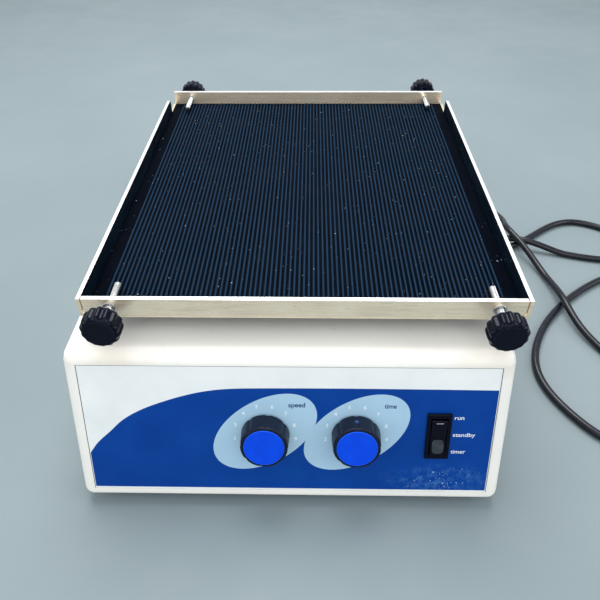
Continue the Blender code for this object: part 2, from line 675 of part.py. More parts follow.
def make_plug(looks, x):
    """A moulded three-pin plug lying on the floor, its pins towards the front."""
    axis = empty("plug_axis", (x, PLUG_Y, PLUG_Z), (math.pi / 2, 0, 0))
    body = block("plug", looks["black"], (-13, -PLUG_Z + 0.1, 18), (13, PLUG_Z - 1, 42), bevel=3.0, parent=axis)
    neck = turned("add_plug_neck", None, [(0, 22), (9.5, 22), (5.0, 0), (0, 0)], sides=16, parent=axis)
    blades = [
        block(f"add_blade_{side}", None, (side * 6.35 - 0.75, -4.4, 38), (side * 6.35 + 0.75, 2.0, 58), parent=axis)
        for side in (-1, 1)
    ]
    ground = turned("add_ground_pin", None, rod(2.4, 38, 61), sides=12, parent=axis, location=(0, 7.2, 0))
    join(body, neck, *blades, ground)


def main():
    clear_scene()
    looks = materials()
    slope = panel_frame()
    make_housing(looks, slope)
    make_base(looks)
    make_panel(looks, slope)
    make_dial(looks, slope, "speed", SPEED_X, math.radians(218))
    make_dial(looks, slope, "time", TIME_X, math.radians(86))
    make_switch(looks, slope)
    make_board(looks)
    make_spindle(looks)
    make_idlers(looks)
    make_motor(looks)
    make_carriage(looks)
    make_tray(looks)
    make_thumbscrews(looks)
    make_lead(looks)


main()
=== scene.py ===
"""Orbital platform shaker: its visible pieces and materials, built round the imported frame.

Shapes are worked out in millimetres and turned into metres as each mesh is made.
X runs to the right, Y to the back and Z up; the floor is z = 0.
"""

import json
import math

import bmesh
import bpy
import numpy as np
from mathutils import Matrix, Vector


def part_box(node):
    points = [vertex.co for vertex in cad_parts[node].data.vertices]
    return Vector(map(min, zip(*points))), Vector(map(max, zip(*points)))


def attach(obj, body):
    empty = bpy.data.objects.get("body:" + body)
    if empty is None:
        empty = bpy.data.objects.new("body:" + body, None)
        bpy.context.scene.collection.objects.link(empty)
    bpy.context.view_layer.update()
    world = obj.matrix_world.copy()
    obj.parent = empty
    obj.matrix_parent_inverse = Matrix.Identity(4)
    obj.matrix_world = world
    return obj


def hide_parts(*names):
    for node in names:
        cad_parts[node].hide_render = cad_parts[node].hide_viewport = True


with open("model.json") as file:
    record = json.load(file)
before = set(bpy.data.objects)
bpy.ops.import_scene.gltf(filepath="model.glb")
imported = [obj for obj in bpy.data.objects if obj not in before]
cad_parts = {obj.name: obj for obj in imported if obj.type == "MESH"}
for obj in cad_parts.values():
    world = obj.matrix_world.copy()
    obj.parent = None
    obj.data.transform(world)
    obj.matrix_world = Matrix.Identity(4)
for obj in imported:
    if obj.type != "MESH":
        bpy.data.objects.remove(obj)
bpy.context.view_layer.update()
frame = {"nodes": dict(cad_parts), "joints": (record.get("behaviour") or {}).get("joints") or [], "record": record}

MM = 0.001
TURN = math.tau
NAMES = ("front_left", "front_right", "rear_left", "rear_right")

# Sizes that the frame's boxes don't say
CORD_RADIUS = 3.25
COIL_CENTRE = (386.0, 20.0)
COIL_RADIUS = 36.0
COIL_TURNS = 1.25
PLUG_Y = -24.0
PLUG_Z = 12.0
GLAND = Vector((96.0, 206.5, 34.0))
HOUSING_EDGE = 8.0
HOUSING_FOOT = 3.0
HOUSING_DROP = 2.5
HOUSING_SWELL = 1.2
WALL = 3.0
FRONT_WALL = 6.0
TRAY_SHEET = 2.5
LIP_SHEET = 3.0
PANEL_SINK = 0.9
PANEL_START = 8.7
PANEL_END = 105.1
PANEL_GAP = 0.5
FILM_TOP = -0.2
PRINT_THICK = 0.05
PRINT_EDGE = 133.6
PRINT_END = 103.7
DIAL_DOWN = 59.1
SKIRT_TOP = 14.6
STUD_RADIUS = 2.5
STUD_REACH = 33.5
THREAD_PITCH = 0.8
RIB_PITCH = 3.175
MAT_MARGIN = 8.0

# The camera: place in millimetres, turn in degrees
CAMERA_PLACE = (10.6617, -433.0043, 381.7151)
CAMERA_TURN = (49.45047, 0.41795, 1.00606)
CAMERA_LENS = 35.852694

# Turns an outline in XY into one in YZ, its thickness along X
FACING_RIGHT = Matrix(((0, 0, 1, 0), (1, 0, 0, 0), (0, 1, 0, 0), (0, 0, 0, 1)))


def corners(node):
    """The lowest and highest corner of a CAD node, in millimetres."""
    low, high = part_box(node)
    return Vector(low) / MM, Vector(high) / MM


JOINTS = {joint["name"]: joint for joint in frame["joints"]}
NORMAL = Vector(JOINTS["speed_turn"]["axis"])
if NORMAL.y > 0:
    NORMAL = -NORMAL
TILT = math.atan2(NORMAL.z, -NORMAL.y)
HOUSING_LOW, HOUSING_HIGH = corners("top_housing")
MIDDLE_X = (HOUSING_LOW.x + HOUSING_HIGH.x) / 2
DIAL_SPOT = Vector(JOINTS["speed_turn"]["pos_m"]) / MM
FRONT_TOP = DIAL_SPOT.y + DIAL_DOWN * math.sin(TILT)
FRONT_BOTTOM = FRONT_TOP - (HOUSING_HIGH.z - HOUSING_LOW.z) * math.tan(TILT)
TRAY_LOW, TRAY_HIGH = corners("tray")
MAT_LOW, MAT_HIGH = corners("rubber_mat")
SLOPE = Matrix.Translation((MIDDLE_X, FRONT_TOP, HOUSING_HIGH.z))
SLOPE = SLOPE @ Matrix.Rotation(math.pi / 2 - TILT, 4, "X")


def on_slope(x, down, height=0.0, turn=0.0):
    """A frame on the sloping face: x from its middle, a distance down the slope, a height above it."""
    return SLOPE @ Matrix.Translation((x, -down, height)) @ Matrix.Rotation(turn, 4, "Z")


# ---------------------------------------------------------------- materials


def linear(colour):
    """An sRGB colour of 0 to 255 as linear RGBA."""
    values = [channel / 255 for channel in colour]
    return (*[v / 12.92 if v <= 0.04045 else ((v + 0.055) / 1.055) ** 2.4 for v in values], 1.0)


class Look:
    """A procedural material on one Principled shader, with object coordinates in metres."""

    def __init__(self, name, metallic=0.0, roughness=0.5, coat=0.0, specular=0.5):
        self.material = bpy.data.materials.new(name)
        self.material.use_nodes = True
        self.tree = self.material.node_tree
        self.shader = self.tree.nodes["Principled BSDF"]
        self.shader.inputs["Metallic"].default_value = metallic
        self.shader.inputs["Roughness"].default_value = roughness
        self.shader.inputs["Coat Weight"].default_value = coat
        self.shader.inputs["Coat Roughness"].default_value = 0.08
        self.shader.inputs["Specular IOR Level"].default_value = specular
        self.place = self.add("ShaderNodeTexCoord").outputs["Object"]

    def add(self, kind, **settings):
        node = self.tree.nodes.new(kind)
        for key, value in settings.items():
            setattr(node, key, value)
        return node

    def feed(self, socket, value):
        if isinstance(value, bpy.types.NodeSocket):
            self.tree.links.new(value, socket)
        else:
            socket.default_value = value

    def moved(self, scale=(1, 1, 1), turn=(0, 0, 0), shift=(0, 0, 0)):
        node = self.add("ShaderNodeMapping")
        self.feed(node.inputs["Vector"], self.place)
        node.inputs["Scale"].default_value = scale
        node.inputs["Rotation"].default_value = turn
        node.inputs["Location"].default_value = shift
        return node.outputs["Vector"]

    def noise(self, size, detail=3.0, stretch=(1, 1, 1), turn=(0, 0, 0), shift=(0, 0, 0)):
        """Noise whose features are about that many millimetres across."""
        node = self.add("ShaderNodeTexNoise")
        self.feed(node.inputs["Vector"], self.moved(stretch, turn, shift))
        node.inputs["Scale"].default_value = 1 / (size * MM)
        node.inputs["Detail"].default_value = detail
        return node.outputs["Fac"]

    def ramp(self, value, *stops):
        """Colours or grey levels along a value: (place, colour) pairs."""
        node = self.add("ShaderNodeValToRGB")
        self.feed(node.inputs["Fac"], value)
        steps = node.color_ramp.elements
        while len(steps) < len(stops):
            steps.new(0.5)
        for step, (place, colour) in zip(steps, stops):
            step.position = place
            step.color = linear(colour) if isinstance(colour, tuple) else (colour, colour, colour, 1.0)
        return node.outputs["Color"]

    def mix(self, factor, first, second):
        node = self.add("ShaderNodeMix", data_type="RGBA", blend_type="MIX")
        self.feed(node.inputs["Factor"], factor)
        self.feed(node.inputs[6], linear(first) if isinstance(first, tuple) else first)
        self.feed(node.inputs[7], linear(second) if isinstance(second, tuple) else second)
        return node.outputs[2]

    def sum(self, operation, first, second=0.0, third=0.0):
        node = self.add("ShaderNodeMath", operation=operation)
        for socket, value in zip(node.inputs, (first, second, third)):
            self.feed(socket, value)
        return node.outputs[0]

    def axes(self):
        node = self.add("ShaderNodeSeparateXYZ")
        self.feed(node.inputs[0], self.place)
        return node.outputs[0], node.outputs[1], node.outputs[2]

    def colour(self, value):
        self.feed(self.shader.inputs["Base Color"], value)

    def rough(self, low, high, size, stretch=(1, 1, 1)):
        """Roughness that wanders between two levels."""
        value = self.ramp(self.noise(size, 4.0, stretch), (0.3, low), (0.7, high))
        self.feed(self.shader.inputs["Roughness"], value)

    def bump(self, height, strength, depth):
        """Bump of that depth in millimetres; a second call adds to the first."""
        node = self.add("ShaderNodeBump")
        node.inputs["Strength"].default_value = strength
        node.inputs["Distance"].default_value = depth * MM
        self.feed(node.inputs["Height"], height)
        before = self.shader.inputs["Normal"].links
        if before:
            self.tree.links.new(before[0].from_socket, node.inputs["Normal"])
        self.tree.links.new(node.outputs["Normal"], self.shader.inputs["Normal"])


def plain(
    name, dark, light, size=12.0, rough=(0.35, 0.5), grain=(0.4, 0.15, 0.02), stretch=(1, 1, 1), **settings
):
    """A mottled surface: two close colours, wandering roughness and a fine grain (size, strength, depth)."""
    look = Look(name, **settings)
    look.colour(look.ramp(look.noise(size, 4.0, stretch), (0.3, dark), (0.7, light)))
    look.rough(*rough, size * 0.6, stretch)
    look.bump(look.noise(grain[0], 2.0, stretch), grain[1], grain[2])
    return look.material


def near_spot(look, spot, reach, soft=0.3):
    """A mask that is 1 inside an ellipsoid round a spot, its reach in millimetres, and fades at its edge."""
    shifted = look.add("ShaderNodeVectorMath", operation="SUBTRACT")
    look.feed(shifted.inputs[0], look.place)
    shifted.inputs[1].default_value = [v * MM for v in spot]
    scaled = look.add("ShaderNodeVectorMath", operation="DIVIDE")
    look.feed(scaled.inputs[0], shifted.outputs[0])
    scaled.inputs[1].default_value = [v * MM for v in reach]
    length = look.add("ShaderNodeVectorMath", operation="LENGTH")
    look.feed(length.inputs[0], scaled.outputs[0])
    wander = look.sum("MULTIPLY_ADD", look.noise(min(reach) * 0.8, 3.0), soft, -soft / 2)
    distance = look.sum("ADD", length.outputs["Value"], wander)
    return look.ramp(distance, (max(0.0, 1 - soft), 1.0), (1.0, 0.0))


def housing_look():
    """Warm off-white moulding: faint yellowing, fine texture, a paint chip and stains on the front edge."""
    look = Look("housing_moulding", roughness=0.42, specular=0.45)
    base = look.ramp(look.noise(60, 3.0), (0.3, (229, 228, 223)), (0.7, (237, 236, 231)))
    dirt = look.ramp(look.noise(9, 5.0, shift=(0.3, 0, 0)), (0.62, 0.0), (0.8, 0.35))
    base = look.mix(dirt, base, (214, 212, 204))
    for x in (TRAY_LOW.x + 18.7, TRAY_HIGH.x - 18.7):
        spot = (x, FRONT_TOP - 2, HOUSING_HIGH.z - 2)
        stain = look.sum("MULTIPLY", near_spot(look, spot, (34, 14, 16), 0.9), 0.35)
        base = look.mix(stain, base, (205, 190, 165))
    chip = near_spot(look, (MIDDLE_X - 4, FRONT_TOP - 0.3, HOUSING_HIGH.z - 1.2), (6.6, 1.6, 1.3), 0.35)
    base = look.mix(chip, base, (92, 84, 74))
    look.colour(base)
    look.rough(0.36, 0.5, 14)
    look.bump(look.noise(0.7, 2.0), 0.12, 0.03)
    look.bump(look.noise(45, 2.0), 0.25, 0.25)
    return look.material


def film_look(name, dark, light, scuffs=0.0, shine=0.35):
    """A printed film: even colour, faint unevenness and, where asked, fine pale scuffs at its lower right."""
    look = Look(name, roughness=0.4, specular=shine)
    base = look.ramp(look.noise(30, 3.0), (0.3, dark), (0.7, light))
    if scuffs:
        lines = look.noise(0.9, 4.0, stretch=(0.5, 1, 1), turn=(0, 0, 0.5))
        haze = look.ramp(look.noise(5, 5.0, shift=(0.4, 0, 0)), (0.45, 0.0), (0.75, 0.3))
        lines = look.sum("ADD", look.ramp(lines, (0.64, 0.0), (0.74, scuffs)), haze)
        low = SLOPE @ Vector((102, -95, 0))
        area = near_spot(look, low, (40, 14, 14), 0.8)
        base = look.mix(look.sum("MULTIPLY", lines, area), base, (112, 184, 226))
        chips = look.ramp(look.noise(1.2, 2.0, shift=(0.1, 0.2, 0)), (0.69, 0.0), (0.72, scuffs))
        base = look.mix(look.sum("MULTIPLY", chips, area), base, (226, 238, 246))
    look.colour(base)
    look.rough(0.34, 0.46, 8)
    look.bump(look.noise(0.5, 2.0), 0.1, 0.015)
    return look.material


def tray_look():
    """Warm brushed sheet: long streaks, soft clouds, darker rubbed marks by the studs, painted shade inside the
    well and a painted highlight on the top rims.
    """
    look = Look("tray_brushed_sheet", metallic=0.6, roughness=0.3)
    streaks = look.noise(1.2, 4.0, stretch=(0.03, 0.03, 1))
    clouds = look.noise(26, 4.0, shift=(0.2, 0, 0))
    both = look.sum("MULTIPLY_ADD", streaks, 0.6, look.sum("MULTIPLY", clouds, 0.4))
    base = look.ramp(both, (0.3, (222, 205, 180)), (0.5, (244, 228, 202)), (0.72, (252, 240, 218)))
    smear = look.ramp(look.noise(9, 4.0, stretch=(0.3, 1, 1), shift=(0.7, 0, 0)), (0.56, 0.0), (0.7, 0.5))
    for x in (TRAY_LOW.x + 18.7, TRAY_HIGH.x - 18.7):
        area = near_spot(look, (x, TRAY_LOW.y, TRAY_HIGH.z - 7), (30, 8, 12), 0.9)
        base = look.mix(look.sum("MULTIPLY", smear, area), base, (120, 118, 114))
    # Painted shade: the inner faces of the well below the rim are coloured a dark blue-black, as if in shade.
    x, y, z = look.axes()
    middle, half = (TRAY_LOW + TRAY_HIGH) / 2, (TRAY_HIGH - TRAY_LOW) / 2
    from_middle = look.sum("ABSOLUTE", look.sum("SUBTRACT", x, middle.x * MM))
    inside_x = look.sum("LESS_THAN", from_middle, (half.x - TRAY_SHEET + 0.3) * MM)
    from_middle = look.sum("ABSOLUTE", look.sum("SUBTRACT", y, middle.y * MM))
    inside_y = look.sum("LESS_THAN", from_middle, (half.y - LIP_SHEET - 0.5) * MM)
    low_down = look.sum("LESS_THAN", z, (TRAY_HIGH.z - 0.5) * MM)
    painted_well_shade = look.sum("MULTIPLY", look.sum("MULTIPLY", inside_x, inside_y), low_down)
    well_shade_colour = look.ramp(look.noise(7, 4.0, stretch=(1, 0.15, 1)), (0.35, (14, 30, 46)), (0.7, (30, 48, 64)))
    base = look.mix(painted_well_shade, base, well_shade_colour)
    # Painted highlight: the top 0.35 mm of the sheet, its rims, is coloured near white, as if catching the
    # overhead light.
    rim = look.sum("GREATER_THAN", z, (TRAY_HIGH.z - 0.35) * MM)
    base = look.mix(rim, base, (250, 251, 251))
    look.colour(base)
    look.rough(0.2, 0.34, 5, (0.08, 0.08, 1))
    look.bump(streaks, 0.3, 0.02)
    look.bump(look.noise(2.2, 3.0), 0.08, 0.03)
    return look.material


def mat_look():
    """Dark blue-black rubber: a painted highlight that makes the rib tops paler than the grooves, dust specks and
    a fine grain.
    """
    look = Look("mat_ribbed_rubber", roughness=0.75, specular=0.02)
    # Painted highlight: the colour turns paler over the top 0.35 mm, so the rib tops look lit and the grooves
    # dark.
    _, _, z = look.axes()
    level = look.add("ShaderNodeMapRange")
    look.feed(level.inputs["Value"], z)
    level.inputs["From Min"].default_value = (MAT_HIGH.z - 0.35) * MM
    level.inputs["From Max"].default_value = (MAT_HIGH.z - 0.02) * MM
    rib_tops_highlight = look.mix(level.outputs["Result"], (0, 3, 11), (24, 44, 64))
    base = look.mix(look.ramp(look.noise(40, 3.0), (0.3, 0.0), (0.7, 0.1)), rib_tops_highlight, (8, 20, 36))
    specks = look.ramp(look.noise(1.7, 2.0), (0.745, 0.0), (0.765, 1.0))
    base = look.mix(specks, base, (176, 190, 200))
    look.colour(base)
    look.rough(0.62, 0.78, 18)
    look.bump(look.noise(0.8, 3.0), 0.25, 0.05)
    return look.material


def brushed(name, dark, light, stretch, rough=(0.25, 0.4)):
    """Brushed or machined metal, its lines along the axis that is least stretched."""
    return plain(name, dark, light, 3.0, rough, (0.5, 0.25, 0.01), stretch, metallic=1.0)


LOOKS = {
    "housing": housing_look(),
    "steel": brushed("zinc_plated_sheet", (150, 152, 154), (196, 198, 198), (0.3, 1, 1), (0.35, 0.5)),
    "panel_plate": plain("panel_paint", (212, 219, 221), (226, 232, 233), 20, (0.38, 0.5)),
    "overlay": film_look("film_white", (222, 228, 229), (232, 236, 237)),
    "switch_black": plain("switch_plastic", (1, 2, 14), (3, 4, 20), 5, (0.14, 0.22), specular=0.12),
    "sheet_aluminium": brushed("mill_sheet", (176, 177, 176), (204, 205, 203), (0.1, 1, 1)),
    "board": plain("board_laminate", (12, 66, 38), (20, 88, 52), 6, (0.3, 0.45), coat=0.4),
    "cast_aluminium": plain(
        "cast_metal", (148, 150, 152), (182, 184, 186), 4, (0.45, 0.62), (0.8, 0.5, 0.08), metallic=1.0
    ),
    "motor_iron": plain("motor_lacquer", (26, 27, 30), (42, 43, 46), 8, (0.4, 0.55), (0.7, 0.3, 0.04)),
    "belt_rubber": plain("belt_compound", (16, 16, 17), (28, 28, 29), 3, (0.6, 0.75), (0.5, 0.4, 0.04)),
    "cord_black": plain(
        "lead_jacket", (2, 6, 18), (6, 12, 26), 7, (0.24, 0.36), (0.6, 0.15, 0.03), specular=0.4
    ),
    "turned_steel": brushed("turned_metal", (170, 171, 172), (206, 207, 208), (1, 1, 0.1), (0.2, 0.34)),
    "tray_aluminium": tray_look(),
    "mat_rubber": mat_look(),
    "dial_plastic": plain(
        "dial_moulding", (4, 14, 34), (10, 22, 44), 4, (0.34, 0.46), (0.4, 0.2, 0.02), specular=0.2
    ),
    "cap_blue": plain(
        "cap_moulding", (0, 66, 214), (0, 74, 226), 7, (0.45, 0.55), (0.4, 0.12, 0.015), specular=0.12
    ),
    "stud_steel": brushed("stud_metal", (160, 162, 164), (210, 211, 212), (1, 0.2, 1), (0.22, 0.36)),
    "knob_black": plain(
        "knob_moulding", (1, 5, 18), (3, 9, 28), 4, (0.12, 0.2), (0.5, 0.1, 0.02), specular=0.12
    ),
    "foot_rubber": plain("foot_compound", (14, 14, 15), (27, 27, 28), 5, (0.55, 0.72), (0.6, 0.4, 0.05)),
}
BLUE_PRINT = film_look("film_blue", (0, 56, 138), (2, 64, 148), scuffs=0.85, shine=0.12)
PALE_PRINT = film_look("film_pale_blue", (158, 193, 218), (167, 201, 223))
WHITE_PRINT = film_look("film_digits", (228, 236, 244), (240, 245, 249))
NAVY_PRINT = film_look("film_navy", (14, 38, 98), (22, 48, 112))
# Painted highlight: the cap's raised rim is a paler blue than the cap, standing in for the light it catches.
CAP_RIM_HIGHLIGHT = plain("cap_rim_painted_highlight", (10, 84, 228), (20, 94, 236), 5, (0.4, 0.5), specular=0.2)
DOT_PAINT = plain("pointer_paint", (14, 52, 104), (24, 66, 124), 2, (0.4, 0.5))
BLADE_METAL = brushed("nickel_pins", (186, 180, 166), (214, 209, 196), (1, 0.15, 1), (0.2, 0.32))
# Painted highlight: a pale grey strip on the rocker's upper half stands in for the glint along its top edge.
ROCKER_GLINT_GREY = plain("rocker_painted_glint", (150, 150, 168), (176, 176, 190), 1, (0.3, 0.4))
# Painted sheen: a paler grey for the pad on the rocker's lower half, which faces up towards the light.
ROCKER_SHEEN_GREY = plain("rocker_pad_painted_sheen", (36, 44, 48), (58, 66, 72), 5, (0.3, 0.42), specular=0.2)
GAP_DARK = plain("recess_shadow_line", (30, 36, 44), (44, 50, 58), 4, (0.6, 0.7))


# ---------------------------------------------------------------- shapes


def as_data(name, mesh):
    """A working mesh as Blender's own, its faces turned outwards; a finished one passes through."""
    if not isinstance(mesh, bmesh.types.BMesh):
        return mesh
    data = bpy.data.meshes.new(name)
    bmesh.ops.recalc_face_normals(mesh, faces=mesh.faces)
    mesh.to_mesh(data)
    mesh.free()
    return data


def piece(name, mesh, body, slot, place=None, replaces=(), angle=32.0, material=None):
    """A finished piece: its mesh, in millimetres, put in place, shaded, painted and riding on a body.

    Its material is its slot's unless another is given.
    """
    data = as_data(name, mesh)
    if place is not None:
        data.transform(place)
    data.transform(Matrix.Scale(MM, 4))
    data.materials.clear()
    data.materials.append(material or LOOKS[slot])
    obj = bpy.data.objects.new(name, data)
    bpy.context.scene.collection.objects.link(obj)
    data.shade_smooth()
    data.set_sharp_from_angle(angle=math.radians(angle))
    modifier = obj.modifiers.new("even_normals", "WEIGHTED_NORMAL")
    modifier.keep_sharp = True
    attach(obj, body)
    if replaces:
        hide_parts(*replaces)
    return obj


def rounded(points, radius, steps=4):
    """A profile with its inner corners eased; each point may carry extra values after its first two."""
    eased = [points[0]]
    for before, corner, after in zip(points, points[1:], points[2:]):
        a, b, c = (np.array(p, float) for p in (before, corner, after))
        reach_in = min(radius, 0.45 * np.linalg.norm((a - b)[:2]))
        reach_out = min(radius, 0.45 * np.linalg.norm((c - b)[:2]))
        start = b + (a - b) * (reach_in / max(1e-9, np.linalg.norm((a - b)[:2])))
        end = b + (c - b) * (reach_out / max(1e-9, np.linalg.norm((c - b)[:2])))
        for i in range(steps + 1):
            t = i / steps
            eased.append(tuple((1 - t) ** 2 * start + 2 * t * (1 - t) * b + t**2 * end))
    eased.append(points[-1])
    return eased


def skin(rings, closed_loop=False):
    """A solid through rings of points; a ring of one point is a pole."""
    mesh = bmesh.new()
    made = [[mesh.verts.new(point) for point in ring] for ring in rings]
    pairs = list(zip(made, made[1:]))
    if closed_loop:
        pairs.append((made[-1], made[0]))
    for low, high in pairs:
        count = max(len(low), len(high))
        for i in range(count):
            j = (i + 1) % count
            if len(low) == 1:
                corner = (low[0], high[j], high[i])
            elif len(high) == 1:
                corner = (low[i], low[j], high[0])
            else:
                corner = (low[i], low[j], high[j], high[i])
            mesh.faces.new(corner)
    if not closed_loop:
        for ring in (made[0], made[-1]):
            if len(ring) > 1:
                mesh.faces.new(ring)
    return mesh


def spun(profile, sides=72, lobes=0, sharpness=1.0, closed_loop=False):
    """A turned solid about Z: (radius, height[, flute depth]) points, with lobes cut by the flutes."""
    rings = []
    for radius, height, *flute in profile:
        depth = flute[0] if flute else 0.0
        if radius <= 1e-6:
            rings.append([(0, 0, height)])
            continue
        ring = []
        for i in range(sides):
            angle = TURN * i / sides
            valley = (0.5 + 0.5 * math.cos(lobes * angle)) ** sharpness if lobes else 0.0
            reach = radius - depth * valley
            ring.append((reach * math.cos(angle), reach * math.sin(angle), height))
        rings.append(ring)
    return skin(rings, closed_loop)


def prism(outline, low, high):
    """A straight solid on an outline in the XY plane."""
    return skin([[(x, y, low) for x, y in outline], [(x, y, high) for x, y in outline]])


def block(low, high, bevel=0.0, segments=6, lean=0.0, keep_top=False, foot=None):
    """A box from its low and high corners, its edges rounded; lean moves its upper front edge back.

    keep_top leaves the top and the upright edges sharp, and foot rounds the bottom edges by its own radius.
    """
    mesh = bmesh.new()
    (x0, y0, z0), (x1, y1, z1) = low, high
    spots = [
        (x0, y0, z0), (x1, y0, z0), (x1, y1, z0), (x0, y1, z0),
        (x0, y0 + lean, z1), (x1, y0 + lean, z1), (x1, y1, z1), (x0, y1, z1),
    ]
    verts = [mesh.verts.new(spot) for spot in spots]
    for face in ((3, 2, 1, 0), (4, 5, 6, 7), (0, 1, 5, 4), (1, 2, 6, 5), (2, 3, 7, 6), (3, 0, 4, 7)):
        mesh.faces.new([verts[i] for i in face])
    if bevel:
        chosen = []
        for edge in mesh.edges:
            on_bottom = max(v.co.z for v in edge.verts) < z0 + 1e-6
            if (keep_top and not on_bottom) or (foot and on_bottom):
                continue
            chosen.append(edge)
        bmesh.ops.bevel(
            mesh, geom=chosen, offset=bevel, segments=segments, profile=0.5, affect="EDGES",
            clamp_overlap=True,
        )
    if foot:
        chosen = [edge for edge in mesh.edges if max(v.co.z for v in edge.verts) < z0 + 1e-4]
        bmesh.ops.bevel(mesh, geom=chosen, offset=foot, segments=4, profile=0.5, affect="EDGES")
    return mesh


def moved(mesh, place):
    """The working mesh, put in place."""
    bmesh.ops.transform(mesh, matrix=place, verts=mesh.verts)
    return mesh


def as_object(mesh):
    """A working mesh as an object, for a Boolean."""
    obj = bpy.data.objects.new("working", as_data("working", mesh))
    bpy.context.scene.collection.objects.link(obj)
    return obj


def carved(target, cutters=(), added=(), edge=0.0, edge_angle=40.0):
    """The target with pieces joined and cut by Booleans, and its sharp edges eased if asked, as a mesh."""
    base = as_object(target)
    others = []
    for operation, shapes in (("UNION", added), ("DIFFERENCE", cutters)):
        for shape in shapes:
            other = as_object(shape)
            others.append(other)
            modifier = base.modifiers.new("boolean", "BOOLEAN")
            modifier.operation = operation
            modifier.solver = "EXACT"
            modifier.object = other
    if edge:
        modifier = base.modifiers.new("edges", "BEVEL")
        modifier.width = edge
        modifier.segments = 2
        modifier.limit_method = "ANGLE"
        modifier.angle_limit = math.radians(edge_angle)
    graph = bpy.context.evaluated_depsgraph_get()
    graph.update()
    data = bpy.data.meshes.new_from_object(base.evaluated_get(graph))
    for obj in (base, *others):
        old = obj.data
        bpy.data.objects.remove(obj)
        bpy.data.meshes.remove(old)
    return data


def merged(meshes):
    """Several closed meshes as one, placed already."""
    whole = bmesh.new()
    for mesh in meshes:
        data = as_data("part", mesh)
        whole.from_mesh(data)
        bpy.data.meshes.remove(data)
    return whole


def curve_mesh(curve):
    """A filled curve as a closed working mesh."""
    obj = bpy.data.objects.new("working", curve)
    bpy.context.scene.collection.objects.link(obj)
    graph = bpy.context.evaluated_depsgraph_get()
    graph.update()
    data = bpy.data.meshes.new_from_object(obj.evaluated_get(graph))
    bpy.data.objects.remove(obj)
    mesh = bmesh.new()
    mesh.from_mesh(data)
    bpy.data.meshes.remove(data)
    bmesh.ops.remove_doubles(mesh, verts=mesh.verts, dist=1e-4)
    bmesh.ops.dissolve_degenerate(mesh, edges=mesh.edges, dist=1e-5)
    return mesh


def sheet_solid(outlines, low, high):
    """A flat solid between two heights: the first outline filled, the others left open."""
    curve = bpy.data.curves.new("outline", "CURVE")
    curve.dimensions = "2D"
    curve.fill_mode = "BOTH"
    curve.extrude = (high - low) / 2
    for outline in outlines:
        spline = curve.splines.new("POLY")
        spline.points.add(len(outline) - 1)
        for point, (x, y) in zip(spline.points, outline):
            point.co = (x, y, 0, 1)
        spline.use_cyclic_u = True
    return moved(curve_mesh(curve), Matrix.Translation((0, 0, (low + high) / 2)))


def words(text, height, thickness, width=None, weight=0.0):
    """Raised lettering centred on the origin, its capitals that high and, if asked, the whole that wide."""
    curve = bpy.data.curves.new("lettering", "FONT")
    curve.body = text
    curve.size = height / 0.7
    curve.offset = weight
    curve.extrude = thickness / 2
    mesh = curve_mesh(curve)
    low = [min(v.co[k] for v in mesh.verts) for k in range(2)]
    high = [max(v.co[k] for v in mesh.verts) for k in range(2)]
    stretch = width / (high[0] - low[0]) if width else 1.0
    middle = Matrix.Translation((-(low[0] + high[0]) / 2, -(low[1] + high[1]) / 2, 0))
    return moved(mesh, Matrix.Diagonal((stretch, 1, 1, 1)) @ middle)


def circle(radius, x=0.0, y=0.0, count=48, tall=None, turn=0.0):
    """Points round a circle or a turned ellipse."""
    tall = tall or radius
    c, s = math.cos(turn), math.sin(turn)
    points = []
    for i in range(count):
        angle = TURN * i / count
        u, v = radius * math.cos(angle), tall * math.sin(angle)
        points.append((x + u * c - v * s, y + u * s + v * c))
    return points


def rectangle(x, y, half_width, half_height):
    """The corners of a rectangle round a point."""
    corner = ((-half_width, -half_height), (half_width, -half_height), (half_width, half_height),
              (-half_width, half_height))
    return [(x + u, y + v) for u, v in corner]


def fluted(profile):
    """A profile for spun whose every point says its flute depth, none where nothing is said."""
    return [(*point, 0.0) if len(point) == 2 else point for point in profile]


def superellipse(width, height, power, z, count=48):
    """One section of a moulded body: a rounded rectangle of those half sizes at a height."""
    section = []
    for i in range(count):
        c, s = math.cos(TURN * i / count), math.sin(TURN * i / count)
        x = width * math.copysign(abs(c) ** (2 / power), c)
        y = height * math.copysign(abs(s) ** (2 / power), s)
        section.append((x, y, z))
    return section


# ---------------------------------------------------------------- camera, lights and floor


